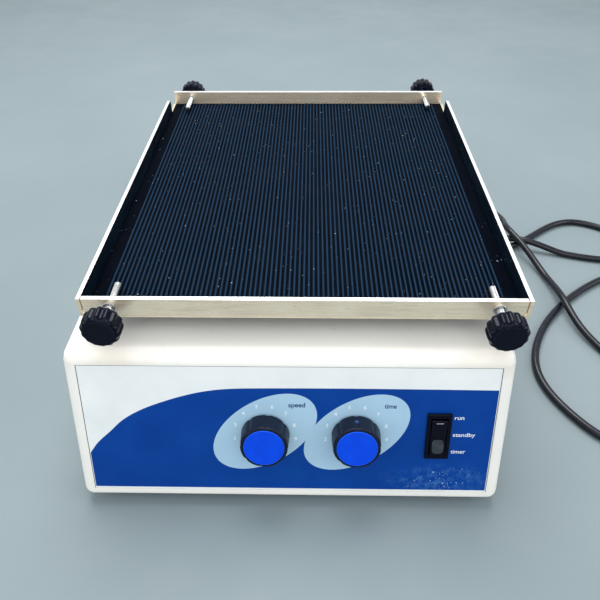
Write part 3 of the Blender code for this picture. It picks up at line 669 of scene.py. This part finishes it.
def make_stage():
    """The camera, the soft studio lights and the pale floor."""
    scene = bpy.context.scene
    camera_data = bpy.data.cameras.new("camera")
    camera_data.lens = CAMERA_LENS
    camera_data.sensor_width = 36.0
    camera_data.clip_start = 0.01
    camera = bpy.data.objects.new("camera", camera_data)
    camera.location = Vector(CAMERA_PLACE) * MM
    camera.rotation_euler = [math.radians(a) for a in CAMERA_TURN]
    scene.collection.objects.link(camera)
    scene.camera = camera

    lights = (
        # name, place, aim, size, strength, colour
        ("overhead", (-0.1, 0.65, 1.5), (0, 0.0, 0.1), 1.3, 31.0, (1.0, 0.995, 0.98)),
        ("front_fill", (0.0, -1.25, 1.1), (0, -0.1, 0.1), 1.8, 12.0, (1.0, 0.995, 0.985)),
        ("left_fill", (-1.3, -0.3, 0.8), (0, 0, 0.08), 0.9, 4.0, (1.0, 0.99, 0.97)),
        ("right_fill", (1.3, -0.3, 0.8), (0, 0, 0.08), 0.9, 6.0, (0.98, 0.99, 1.0)),
    )
    for name, place, aim, size, strength, colour in lights:
        data = bpy.data.lights.new(name, "AREA")
        data.shape = "DISK"
        data.size = size
        data.energy = strength
        data.color = colour
        light = bpy.data.objects.new(name, data)
        light.location = place
        direction = Vector(aim) - Vector(place)
        light.rotation_euler = direction.to_track_quat("-Z", "Y").to_euler()
        scene.collection.objects.link(light)

    world = bpy.data.worlds.new("studio")
    world.use_nodes = True
    background = world.node_tree.nodes["Background"]
    background.inputs["Color"].default_value = (0.88, 0.91, 0.93, 1.0)
    background.inputs["Strength"].default_value = 0.75
    scene.world = world
    scene.view_settings.view_transform = "Standard"

    floor_look = Look("bench_top", roughness=0.45, specular=0.3)
    floor_look.colour(
        floor_look.ramp(floor_look.noise(180, 3.0), (0.3, (118, 132, 137)), (0.7, (124, 137, 142)))
    )
    floor_look.rough(0.4, 0.55, 60)
    floor_look.bump(floor_look.noise(1.5, 2.0), 0.05, 0.03)
    data = bpy.data.meshes.new("floor")
    flat = bmesh.new()
    bmesh.ops.create_grid(flat, x_segments=8, y_segments=8, size=3.0)
    flat.to_mesh(data)
    flat.free()
    data.materials.append(floor_look.material)
    floor = bpy.data.objects.new("floor", data)
    scene.collection.objects.link(floor)


# ---------------------------------------------------------------- mains lead


def cord_route():
    """The lead's route to its coil: out of the gland, to the floor and round the right side."""
    floor = CORD_RADIUS + 0.05
    x, y = COIL_CENTRE
    return [
        (GLAND.x, 241, GLAND.z), (97, 262, 29), (106, 291, 12), (132, 314, floor), (163, 300, floor),
        (168, 266, floor), (156, 215, floor), (152, 115, floor), (161, 86, floor), (187, 75, floor),
        (215, 92, floor), (244, 112, floor), (307, 149, floor), (340, 134, floor),
        (356, 106, floor), (342, 81, floor), (314, 78, floor), (280, 87, floor), (239, 102.5, floor + 7.2),
        (213, 113, floor + 3), (183, 125, floor), (169, 150, floor), (186, 177, floor), (217, 174, floor),
        (228, 146, floor + 4), (224, 120, floor + 12.6), (231, 96, floor + 12.2), (248, 48, floor + 1.5),
        (251, 8, floor + 7.2), (256, -28, floor + 4), (272, -64, floor), (288, -105, floor),
        (277, -144, floor), (249, -157, floor), (220, -132, floor), (204, -84, floor),
        (221, -34, floor), (268, 19, floor),
        (345, 57.5, floor), (x, y + COIL_RADIUS, floor),
    ]


def tail_route():
    """The lead's last stretch, from the top of the coil to the plug."""
    x, y = COIL_CENTRE[0] + COIL_RADIUS, COIL_CENTRE[1]
    top = CORD_RADIUS * (1 + 2 * COIL_TURNS)
    return [(x, y, top), (x, y - 20, top + 0.2), (x, PLUG_Y + 0.3, PLUG_Z)]


def smooth(route, spacing):
    """Points at even steps along a cubic spline through the route, kept on or above the floor."""
    knots = np.array(route, float)
    at = np.concatenate([[0.0], np.cumsum(np.linalg.norm(np.diff(knots, axis=0), axis=1))])
    gaps = np.diff(at)
    slopes = np.diff(knots, axis=0) / gaps[:, None]
    system = np.eye(len(knots))
    bends = np.zeros_like(knots)
    for i in range(1, len(knots) - 1):
        system[i, i - 1:i + 2] = gaps[i - 1], 2 * (gaps[i - 1] + gaps[i]), gaps[i]
        bends[i] = 6 * (slopes[i] - slopes[i - 1])
    bends = np.linalg.solve(system, bends)
    fine = np.linspace(0, at[-1], 2000)
    i = np.clip(np.searchsorted(at, fine) - 1, 0, len(gaps) - 1)
    left, right, gap = (fine - at[i])[:, None], (at[i + 1] - fine)[:, None], gaps[i][:, None]
    curve = (bends[i] * right**3 + bends[i + 1] * left**3) / (6 * gap)
    curve += (knots[i] / gap - bends[i] * gap / 6) * right
    curve += (knots[i + 1] / gap - bends[i + 1] * gap / 6) * left
    gone = np.concatenate([[0.0], np.cumsum(np.linalg.norm(np.diff(curve, axis=0), axis=1))])
    even = np.linspace(0, gone[-1], round(gone[-1] / spacing) + 1)
    points = np.stack([np.interp(even, gone, curve[:, k]) for k in range(3)], axis=1)
    points[:, 2] = np.maximum(points[:, 2], CORD_RADIUS + 0.05)
    return points


def coil_points(step):
    """The coil's turns, clockwise from the back, one diameter higher for each turn."""
    x, y = COIL_CENTRE
    sweep = TURN * COIL_TURNS
    count = round(sweep * COIL_RADIUS / step)
    points = []
    for i in range(1, count):
        share = i / count
        angle = math.pi / 2 - sweep * share
        height = CORD_RADIUS + 0.05 + (2 * CORD_RADIUS * COIL_TURNS - 0.05) * share
        points.append((x + COIL_RADIUS * math.cos(angle), y + COIL_RADIUS * math.sin(angle), height))
    return points


def make_lead():
    """The lead with its ribbed boot at the housing and its moulded plug at the far end."""
    boot = [(3.6, -5.5), (3.6, 34), (4.35, 34), (4.6, 33.2)]
    for i in range(7):
        height = 31.5 - 3.6 * i
        wide = 5.0 + 0.5 * i
        boot += [(wide, height + 0.5), (wide, height - 1.2)]
        boot += [(wide - 0.9, height - 1.6), (wide - 0.7, height - 2.8)]
    boot += [(8.6, 6.8), (10.6, 6.4), (11.5, 5.2), (11.5, 0.5), (11.1, 0.3), (8.0, 0.3), (8.0, -5.5)]
    facing_back = Matrix.Translation(GLAND) @ Matrix.Rotation(-math.pi / 2, 4, "X")
    sleeve = spun(rounded(boot, 0.4, 2), 64, closed_loop=True)
    gland = piece("lead_boot", sleeve, "base", "cord_black", facing_back, ("cable_gland",))

    x = COIL_CENTRE[0] + COIL_RADIUS
    lying = Matrix.Translation((x, PLUG_Y, PLUG_Z)) @ Matrix.Rotation(math.pi / 2, 4, "X")
    sections = [superellipse(r, r, 2, z) for r, z in ((3.4, 0.2), (4.6, 0.0), (4.9, 1.0))]
    for i in range(5):
        z, wide = 2.6 + 2.6 * i, 5.2 + 0.55 * i
        for radius, rise in ((wide - 0.7, -0.6), (wide - 0.7, 0), (wide, 0.4), (wide, 1.4)):
            sections.append(superellipse(radius, radius, 2, z + rise))
    for wide, tall, power, z in (
        (8.6, 7.9, 2.6, 16.5), (11.0, 9.4, 3.2, 19.0), (12.6, 10.5, 4.0, 22.5), (12.2, 10.2, 4.5, 25.0),
        (11.7, 9.8, 4.5, 28.0), (12.0, 10.1, 4.5, 31.5), (12.8, 10.9, 5.0, 35.5), (13.0, 11.0, 5.0, 39.0),
        (12.7, 10.7, 5.0, 41.3), (11.9, 9.9, 5.0, 42.0),
    ):
        sections.append(superellipse(wide, tall, power, z))
    plug_body = piece("plug_moulding", skin(sections), "base", "cord_black", lying, ("plug",))
    blade = [(-3.1, 0), (3.1, 0), (3.1, 18.6), (2.2, 19.9), (-2.2, 19.9), (-3.1, 18.6)]
    pins = []
    for side in (-1, 1):
        flat = sheet_solid([blade, circle(1.6, 0, 15.6, 20)], -0.75, 0.75)
        stand = Matrix.Translation((side * 6.35, -1.2, 38.0)) @ Matrix.Rotation(math.pi / 2, 4, "Y")
        stand = stand @ Matrix.Rotation(math.pi / 2, 4, "Z") @ Matrix.Scale(-1, 4, (1, 0, 0))
        pins.append(moved(flat, stand))
    ground = spun(rounded([(0, 38), (2.4, 38), (2.4, 59.2), (1.5, 60.9), (0, 60.9)], 0.5), 32)
    pins.append(moved(ground, Matrix.Translation((0, 7.2, 0))))
    plug_pins = piece("plug_pins", merged(pins), "base", "turned_steel", lying, material=BLADE_METAL)

    route = [(GLAND.x, 226, GLAND.z), *map(tuple, smooth(cord_route(), 3.0))]
    route += coil_points(3.0) + [tuple(p) for p in smooth(tail_route(), 3.0)]
    curve = bpy.data.curves.new("mains_lead", "CURVE")
    curve.dimensions = "3D"
    curve.bevel_depth = CORD_RADIUS * MM
    curve.bevel_resolution = 5
    curve.use_fill_caps = True
    spline = curve.splines.new("POLY")
    spline.points.add(len(route) - 1)
    for point, spot in zip(spline.points, route):
        point.co = (*[v * MM for v in spot], 1)
    curve.materials.append(LOOKS["cord_black"])
    lead = bpy.data.objects.new("mains_lead", curve)
    bpy.context.scene.collection.objects.link(lead)
    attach(lead, "base")
    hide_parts("power_cord", "cord_coil", "cord_tail")


# ---------------------------------------------------------------- housing and feet


def make_housing():
    """The moulded cover, its edges fully rounded, with the panel's recess, pin holes, vents and outlet."""
    tangent = math.tan(TILT)
    low = Vector((HOUSING_LOW.x - HOUSING_SWELL, FRONT_BOTTOM, HOUSING_LOW.z))
    low -= Vector((0, HOUSING_DROP * tangent, HOUSING_DROP))
    high = HOUSING_HIGH + Vector((HOUSING_SWELL, 0, 0))
    shell = block(low, high, HOUSING_EDGE, 8, lean=FRONT_TOP - low.y, foot=HOUSING_FOOT)
    cavity_low, cavity_high = 18.0, high.z - WALL
    front = low.y + (cavity_low - low.z) * tangent + FRONT_WALL / math.cos(TILT)
    cavity = block(
        (low.x + WALL, front, cavity_low), (high.x - WALL, high.y - WALL, cavity_high),
        5.0, 4, lean=(cavity_high - cavity_low) * tangent,
    )
    mouth = block((low.x + 10.5, low.y + 13.0, 0), (high.x - 10.5, high.y - 10.5, cavity_low + 8.0))
    half = panel_half() + PANEL_GAP
    recess = block((-half, -PANEL_END - 0.2, -PANEL_SINK - 2.7), (half, PANEL_GAP - PANEL_START, 5))
    recess = moved(recess, SLOPE)
    window = moved(block((-126, -94.6, -14), (126, -16.6, 0)), SLOPE)
    holes = []
    spindle = Vector(JOINTS["crank_spin"]["pos_m"]) / MM
    places = [(spindle.x, spindle.y, 22.0)]
    for name in NAMES:
        post_low, post_high = corners(f"idler_post_{name}")
        places.append(((post_low.x + post_high.x) / 2, (post_low.y + post_high.y) / 2, 18.0))
    for x, y, radius in places:
        profile = [(0, 100), (radius, 100), (radius, high.z - 1), (radius + 1, high.z)]
        profile += [(radius + 1, 130), (0, 130)]
        holes.append(moved(spun(profile, 64), Matrix.Translation((x, y, 0))))
    vents = []
    for i in range(8):
        x = low.x + 70.5 + 12.0 * i
        outline = [(x + 1.5 + u, 66 + v) for u, v in slot_outline(1.5, 18.0)]
        vents.append(moved(prism(outline, -10, 10), upright_at(high.y)))
    outlet = moved(spun([(0, -20), (8.3, -20), (8.3, 20), (0, 20)], 48),
                   Matrix.Translation(GLAND) @ Matrix.Rotation(math.pi / 2, 4, "X"))
    data = carved(shell, [cavity, mouth, recess, window, *holes, *vents, outlet])
    piece("housing_cover", data, "base", "housing", None, ("top_housing",), 28)


def panel_half():
    """Half the width of the control panel."""
    low, high = corners("front_panel")
    return (high.x - low.x) / 2


def upright_at(y):
    """A frame whose XY plane stands upright, facing the back, at that y."""
    return Matrix(((1, 0, 0, 0), (0, 0, 1, y), (0, 1, 0, 0), (0, 0, 0, 1)))


def slot_outline(radius, half_height, steps=8):
    """A vertical slot with round ends."""
    outline = []
    for centre, start in ((half_height - radius, 0.0), (radius - half_height, math.pi)):
        for i in range(steps + 1):
            angle = start + math.pi * i / steps
            outline.append((radius * math.cos(angle), centre + radius * math.sin(angle)))
    return outline


def make_feet():
    """The four rubber feet with their screws."""
    profile = [
        (0, 11.7), (12.6, 11.7), (13, 11.3), (13, 8.4), (12.3, 7.6), (12.3, 6.8), (12.5, 6.2), (11.2, 1.2),
        (10.6, 0.3), (9.8, 0.0), (6.0, 0.0), (5.6, 0.5), (5.2, 2.0), (0, 2.0),
    ]
    for name in NAMES:
        low, high = corners(f"foot_{name}")
        place = Matrix.Translation(((low.x + high.x) / 2, (low.y + high.y) / 2, 0))
        foot = spun(rounded(profile, 0.5, 2), 64)
        piece(f"rubber_foot_{name}", foot, "base", "foot_rubber", place, (f"foot_{name}",))
        screw = spun(rounded([(0, 0.9), (4.4, 0.9), (4.4, 1.7), (3.6, 1.95), (0, 1.95)], 0.3, 2), 32)
        cross = [block((-2.4, -0.45, 0.3), (2.4, 0.45, 1.4)), block((-0.45, -2.4, 0.3), (0.45, 2.4, 1.4))]
        piece(f"foot_screw_{name}", carved(screw, cross), "base", "turned_steel", place)


# ---------------------------------------------------------------- control panel


def make_prints():
    """The film's print in thin layers: the blue field, two pale ovals, the digits and the words."""
    thick = PRINT_THICK
    dials = [dial_x("speed"), dial_x("time")]
    switch = switch_centre()
    line = [
        (-PRINT_EDGE, 75.5), (-126.5, 66.0), (-117.9, 57.9), (-111.5, 51.4), (-104.3, 45.8), (-93.0, 39.6),
        (-80.2, 34.4), (-69.0, 30.6), (-57.8, 27.6), (-46.5, 25.6), (-35.1, 24.6), (-20, 24.2),
        (PRINT_EDGE, 24.3),
    ]
    line = smooth([(x, s, 40) for x, s in line], 3.0)
    blue = [(p[0], -p[1]) for p in line] + [(PRINT_EDGE, -PRINT_END), (-PRINT_EDGE, -PRINT_END)]
    wells = [circle(5.4, x, -DIAL_DOWN) for x in dials]
    slot = rectangle(switch.x, -switch.y, 6.9, 15.9)
    low = FILM_TOP + 0.005
    field = sheet_solid([blue, *wells, slot], low, low + thick)
    piece("print_blue", field, "base", "overlay", SLOPE, material=BLUE_PRINT)
    for i, (name, x, s) in enumerate((("speed", dials[0] - 0.6, 57.7), ("time", dials[1] + 0.3, 57.7))):
        oval = circle(39.0, x, -s, 120, 23.5, math.radians(36))
        bottom = low + thick * (1 + 0.5 * i)
        others = [well for well, d in zip(wells, dials) if (d - x) ** 2 < 39**2]
        field = sheet_solid([oval, *others], bottom, bottom + thick)
        piece(f"print_oval_{name}", field, "base", "overlay", SLOPE, material=PALE_PRINT)
    top = low + 2.6 * thick
    digits = []
    for x in (dials[0] - 0.3, dials[1] + 0.3):
        for number in range(2, 10):
            angle = math.radians(218.25 - 28.5 * (number - 1))
            spot = (x + 20.4 * math.cos(angle), 0.2 - DIAL_DOWN + 21.7 * math.sin(angle), top)
            digits.append(moved(words(str(number), 2.7, thick, weight=0.02), Matrix.Translation(spot)))
    labels = (("run", 110.7, 45.5, 6.1), ("standby", 114.9, 58.7, 14.6), ("timer", 112.2, 71.7, 9.6))
    for text, x, s, width in labels:
        digits.append(moved(words(text, 2.9, thick, width, 0.03), Matrix.Translation((x, -s, top))))
    piece("print_digits", merged(digits), "base", "overlay", SLOPE, (), 60, WHITE_PRINT)
    titles = []
    for text, x, s, width in (("speed", 5.4, 36.9, 10.8), ("time", 65.8, 36.8, 7.8)):
        titles.append(moved(words(text, 3.3, thick, width, 0.09), Matrix.Translation((x, -s, top))))
    piece("print_titles", merged(titles), "base", "overlay", SLOPE, (), 60, NAVY_PRINT)


def make_panel():
    """The panel's plate and film, and dark strips in the gaps where they meet the sides of the recess, as painted
    shade.
    """
    half = panel_half()
    switch = switch_centre()
    edge = [(-half, -PANEL_END), (half, -PANEL_END), (half, -PANEL_START), (-half, -PANEL_START)]
    slot = rectangle(switch.x, -switch.y, 6.7, 15.7)
    wells = [circle(5.2, dial_x(name), -DIAL_DOWN) for name in ("speed", "time")]
    film = sheet_solid([edge, *wells, slot], FILM_TOP - 0.25, FILM_TOP)
    plate = sheet_solid([edge, *wells, slot], FILM_TOP - 2.2, FILM_TOP - 0.27)
    piece("panel_film", film, "base", "overlay", SLOPE, ("panel_overlay",))
    piece("panel_plate", plate, "base", "panel_plate", SLOPE, ("front_panel",))
    # Painted shade: a dark strip fills each narrow gap beside the panel.
    for side, name in ((-1, "left"), (1, "right")):
        near, far = sorted((side * (half + 0.04), side * (half + 0.46)))
        strip = block((near, -105.2, -3.4), (far, -8.4, -0.45), 0.1, 2)
        piece(f"panel_gap_shade_{name}", strip, "base", "housing", SLOPE, material=GAP_DARK)


def dial_x(name):
    """How far a dial's axis is from the middle of the slope."""
    spot = SLOPE.inverted() @ (Vector(JOINTS[f"{name}_turn"]["pos_m"]) / MM)
    return spot.x


def switch_centre():
    """Where the switch stands on the slope: x from the middle and distance down."""
    spot = SLOPE.inverted() @ (Vector(JOINTS["rocker_tilt"]["pos_m"]) / MM)
    return Vector((spot.x, -spot.y))


def make_dials():
    """Each dial: a scalloped skirt, a blue cap with a rim in paler blue as a painted highlight, and the pointer's
    dot.
    """
    skirt = [
        (0, 10.8), (3.3, 10.8), (3.3, 4.0), (12.0, 4.0), (12.0, 1.4), (12.3, 1.2),
        (15.8, 1.2, 0.45), (16.1, 1.5, 0.5), (15.4, 13.6, 0.5), (15.1, 14.2, 0.45),
        (14.5, 14.55, 0.3), (13.4, SKIRT_TOP), (0, SKIRT_TOP),
    ]
    skirt = rounded(fluted(skirt), 0.25, 2)
    cap = [(0, 14.65), (12.5, 14.65), (12.7, 14.75), (12.7, 14.85), (12.5, 14.95), (12.2, 15.0), (0, 15.05)]
    rim = [
        (12.72, 14.65), (12.72, 15.0), (12.8, 15.1), (12.95, 15.08), (13.1, 14.9), (13.1, 14.7),
        (13.0, 14.62),
    ]
    for name, pointer in (("speed", 218.0), ("time", 91.0)):
        body = f"{name}_knob"
        place = on_slope(dial_x(name), DIAL_DOWN, 0, math.radians(pointer))
        piece(f"{name}_skirt", spun(skirt, 256, 8, 9.0), body, "dial_plastic", place, (f"{name}_dial",))
        piece(f"{name}_cap_disc", spun(cap, 96), body, "cap_blue", place, (f"{name}_cap",))
        # Painted highlight: the rim ring gets the paler blue.
        ring = spun(rim, 96, closed_loop=True)
        piece(f"{name}_cap_rim", ring, body, "cap_blue", place, material=CAP_RIM_HIGHLIGHT)
        dot = spun(rounded([(0, -0.5), (1.5, -0.5), (1.5, 0.25), (1.1, 0.5), (0, 0.55)], 0.2, 2), 32)
        at = place @ Matrix.Translation((15.25, 0, 7.0)) @ Matrix.Rotation(math.radians(90), 4, "Y")
        piece(f"{name}_pointer_dot", dot, body, "dial_plastic", at, material=DOT_PAINT)


def make_switch():
    """The rocker switch: a bezel with rounded edges, its body behind, and the V-shaped rocker with a painted glint
    strip on its upper half and a painted sheen pad on its lower half.
    """
    centre = switch_centre()
    place = on_slope(centre.x, centre.y)
    bezel = block((-8, -17.5, 0.2), (8, 17.5, 2.0), 0.7, 4)
    rear = block((-6.4, -15.4, -22), (6.4, 15.4, 1.0))
    well = block((-5.5, -14.2, -8), (5.5, 14.2, 5))
    data = carved(bezel, [well], [rear], 0.2, 50)
    piece("switch_bezel", data, "base", "switch_black", place, ("switch_body",), 40)
    profile = [(-12.6, -3.0), (12.6, -3.0), (13.4, 4.8), (12.7, 5.4), (0, 3.7), (-12.7, 5.4), (-13.4, 4.8)]
    looped = [profile[-1], *profile, profile[0]]
    outline = rounded(looped, 0.8, 3)[1:-1]
    hinge = on_slope(centre.x, centre.y, -2.0)
    data = carved(prism(outline, -5.1, 5.1), edge=0.35, edge_angle=50)
    piece("switch_rocker", data, "rocker_switch", "switch_black", hinge @ FACING_RIGHT, ("rocker",), 40)
    slope = math.atan2(1.7, 12.7)
    upper = hinge @ Matrix.Translation((0, 11.4, 3.7 + 11.4 * math.tan(slope)))
    upper = upper @ Matrix.Rotation(slope, 4, "X")
    lower = hinge @ Matrix.Translation((0, -7.0, 3.7 + 7.0 * math.tan(slope)))
    lower = lower @ Matrix.Rotation(-slope, 4, "X")
    # Painted glint: a pale strip on the upper half of the rocker.
    glint_strip = sheet_solid([[(x, y) for x, y, _ in superellipse(2.5, 0.3, 3, 0, 24)]], -0.1, 0.06)
    # Painted sheen: a paler pad on the lower half of the rocker.
    pad = sheet_solid([[(x, y) for x, y, _ in superellipse(3.8, 5.0, 4, 0, 48)]], -0.1, 0.12)
    piece("rocker_glint", glint_strip, "rocker_switch", "switch_black", upper, material=ROCKER_GLINT_GREY)
    piece("rocker_pad", pad, "rocker_switch", "switch_black", lower, material=ROCKER_SHEEN_GREY)


# ---------------------------------------------------------------- tray, mat and thumbscrews


def make_tray():
    """The folded tray: rounded bends along its floor, open front corners, sloped ends on its side walls."""
    low, high = TRAY_LOW, TRAY_HIGH
    floor = low.z + TRAY_SHEET
    outer = block(low, high, 2.2, 5, keep_top=True)
    well = block(
        (low.x + TRAY_SHEET, low.y + LIP_SHEET, floor),
        (high.x - TRAY_SHEET, high.y - LIP_SHEET, high.z + 10), 1.0, 4, keep_top=True,
    )
    cutters = [well]
    for side, inner in ((-1, low.x + TRAY_SHEET), (1, high.x - TRAY_SHEET)):
        near, far = sorted((inner, inner - side * 0.7))
        cutters.append(block((near, low.y - 5, floor + 2), (far, low.y + LIP_SHEET + 2, 160)))
        near, far = sorted((inner - side * 0.2, inner + side * 8))
        outline = [
            (high.y + 5, floor), (high.y + 5, high.z + 5), (high.y - 26, high.z + 5), (high.y - 26, high.z),
            (high.y - 24.6, high.z - 0.3), (high.y - 23.2, high.z - 1.2), (high.y - 22.4, high.z - 2.4),
            (high.y - 22, high.z - 4), (high.y - 22, floor),
        ]
        cutters.append(moved(prism(outline, near, far), FACING_RIGHT))
    for name in NAMES:
        x, y, z, _ = screw_place(name)
        lip_y = low.y if name.startswith("front") else high.y
        hole = spun([(0, -8), (STUD_RADIUS + 0.08, -8), (STUD_RADIUS + 0.08, 8), (0, 8)], 32)
        cutters.append(moved(hole, Matrix.Translation((x, lip_y, z)) @ Matrix.Rotation(math.pi / 2, 4, "X")))
    data = carved(outer, cutters, edge=0.28, edge_angle=50)
    piece("tray_sheet", data, "platform", "tray_aluminium", None, ("tray",), 35)


def make_mat():
    """The ribbed mat: ribs along Y, with a plain margin at its left and right edges."""
    pitch = RIB_PITCH
    low, high = MAT_LOW, MAT_HIGH
    valley = high.z - 0.45
    count = int((high.x - low.x - 2 * MAT_MARGIN) / pitch)
    start = (low.x + high.x) / 2 - count * pitch / 2
    top = [(low.x, valley)]
    for i in range(count):
        left = start + (i + 0.32) * pitch
        right = start + (i + 0.68) * pitch
        top += [(left - 0.16, valley), (left, high.z - 0.06), (left + 0.1, high.z)]
        top += [(right - 0.1, high.z), (right, high.z - 0.06), (right + 0.16, valley)]
    top += [(high.x, valley)]
    outline = [(low.x, low.z), (high.x, low.z), *reversed(top)]
    mat = prism(outline, low.y, high.y)
    piece("ribbed_mat", mat, "platform", "mat_rubber", upright_at(0), ("rubber_mat",), 50)


def screw_place(name):
    """(x, y of the knob's inner face, z, which way the knob points along Y) of a thumbscrew."""
    low, high = corners(f"knob_{name}")
    out = -1 if name.startswith("front") else 1
    return (low.x + high.x) / 2, (high.y if out < 0 else low.y), (low.z + high.z) / 2, out


def threaded(radius, depth, pitch, low, high, sides=24, step=0.2):
    """A rod with a real helical thread along Z, plain at both ends."""
    rings = [[(0, 0, low)]]
    count = round((high - low) / step)
    for i in range(count + 1):
        z = low + (high - low) * i / count
        fade = min(1.0, (z - low) / 1.0, (high - z) / 0.6)
        chamfer = 0.7 * max(0.0, 1 - (z - low) / 0.8)
        ring = []
        for j in range(sides):
            angle = TURN * j / sides
            phase = (z / pitch - j / sides) % 1.0
            groove = depth * (1 - abs(2 * phase - 1)) * fade
            reach = radius - groove - chamfer
            ring.append((reach * math.cos(angle), reach * math.sin(angle), z))
        rings.append(ring)
    return skin([*rings, [(0, 0, high)]])


def make_thumbscrews():
    """The four studs, their knobs and the clinch nuts that hold them in the lips."""
    knob = [
        (0, 9.5), (2.58, 9.5), (2.58, 0.3), (2.9, 0.0), (6.4, 0.0), (7.2, 0.3), (9.0, 0.6, 0.2),
        (11.0, 1.1, 0.6), (11.9, 2.0, 0.9), (12.3, 3.6, 1.0), (12.3, 9.8, 1.0), (12.0, 11.0, 0.9),
        (11.2, 12.2, 0.6), (10.4, 12.8, 0.2), (9.7, 13.15), (9.2, 13.2), (8.9, 13.05), (8.6, 12.95),
        (0, 12.95),
    ]
    knob = rounded(fluted(knob), 0.5, 2)
    nut = [(2.6, -0.1), (2.6, 0.9), (2.9, 1.1), (3.9, 1.1), (4.4, 0.8), (4.4, -0.1)]
    for name in NAMES:
        x, y, z, out = screw_place(name)
        place = Matrix.Translation((x, y, z)) @ Matrix.Rotation(-out * math.pi / 2, 4, "X")
        stud = threaded(STUD_RADIUS, 0.42, THREAD_PITCH, -STUD_REACH, 9.0)
        piece(f"thread_{name}", stud, f"screw_{name}", "stud_steel", place, (f"stud_{name}",), 60)
        grip = f"grip_{name}"
        piece(grip, spun(knob, 168, 14), grip, "knob_black", place, (f"knob_{name}",))
        lip = TRAY_LOW.y if out < 0 else TRAY_HIGH.y
        collar = Matrix.Translation((x, lip, z)) @ Matrix.Rotation(-out * math.pi / 2, 4, "X")
        ring = spun(rounded(nut, 0.2, 2), 48, closed_loop=True)
        piece(f"clinch_nut_{name}", ring, "platform", "stud_steel", collar)


# ---------------------------------------------------------------- the frame's own nodes


def paint_frame():
    """The CAD nodes that stay: each gets its slot's material."""
    for part in frame["record"]["subparts"]:
        obj = frame["nodes"].get(part["node"])
        if obj is None:
            continue
        obj.data.materials.clear()
        obj.data.materials.append(LOOKS[part["material_slot"]])


make_stage()
make_lead()
make_housing()
make_feet()
make_prints()
make_panel()
make_dials()
make_switch()
make_tray()
make_mat()
make_thumbscrews()
paint_frame()
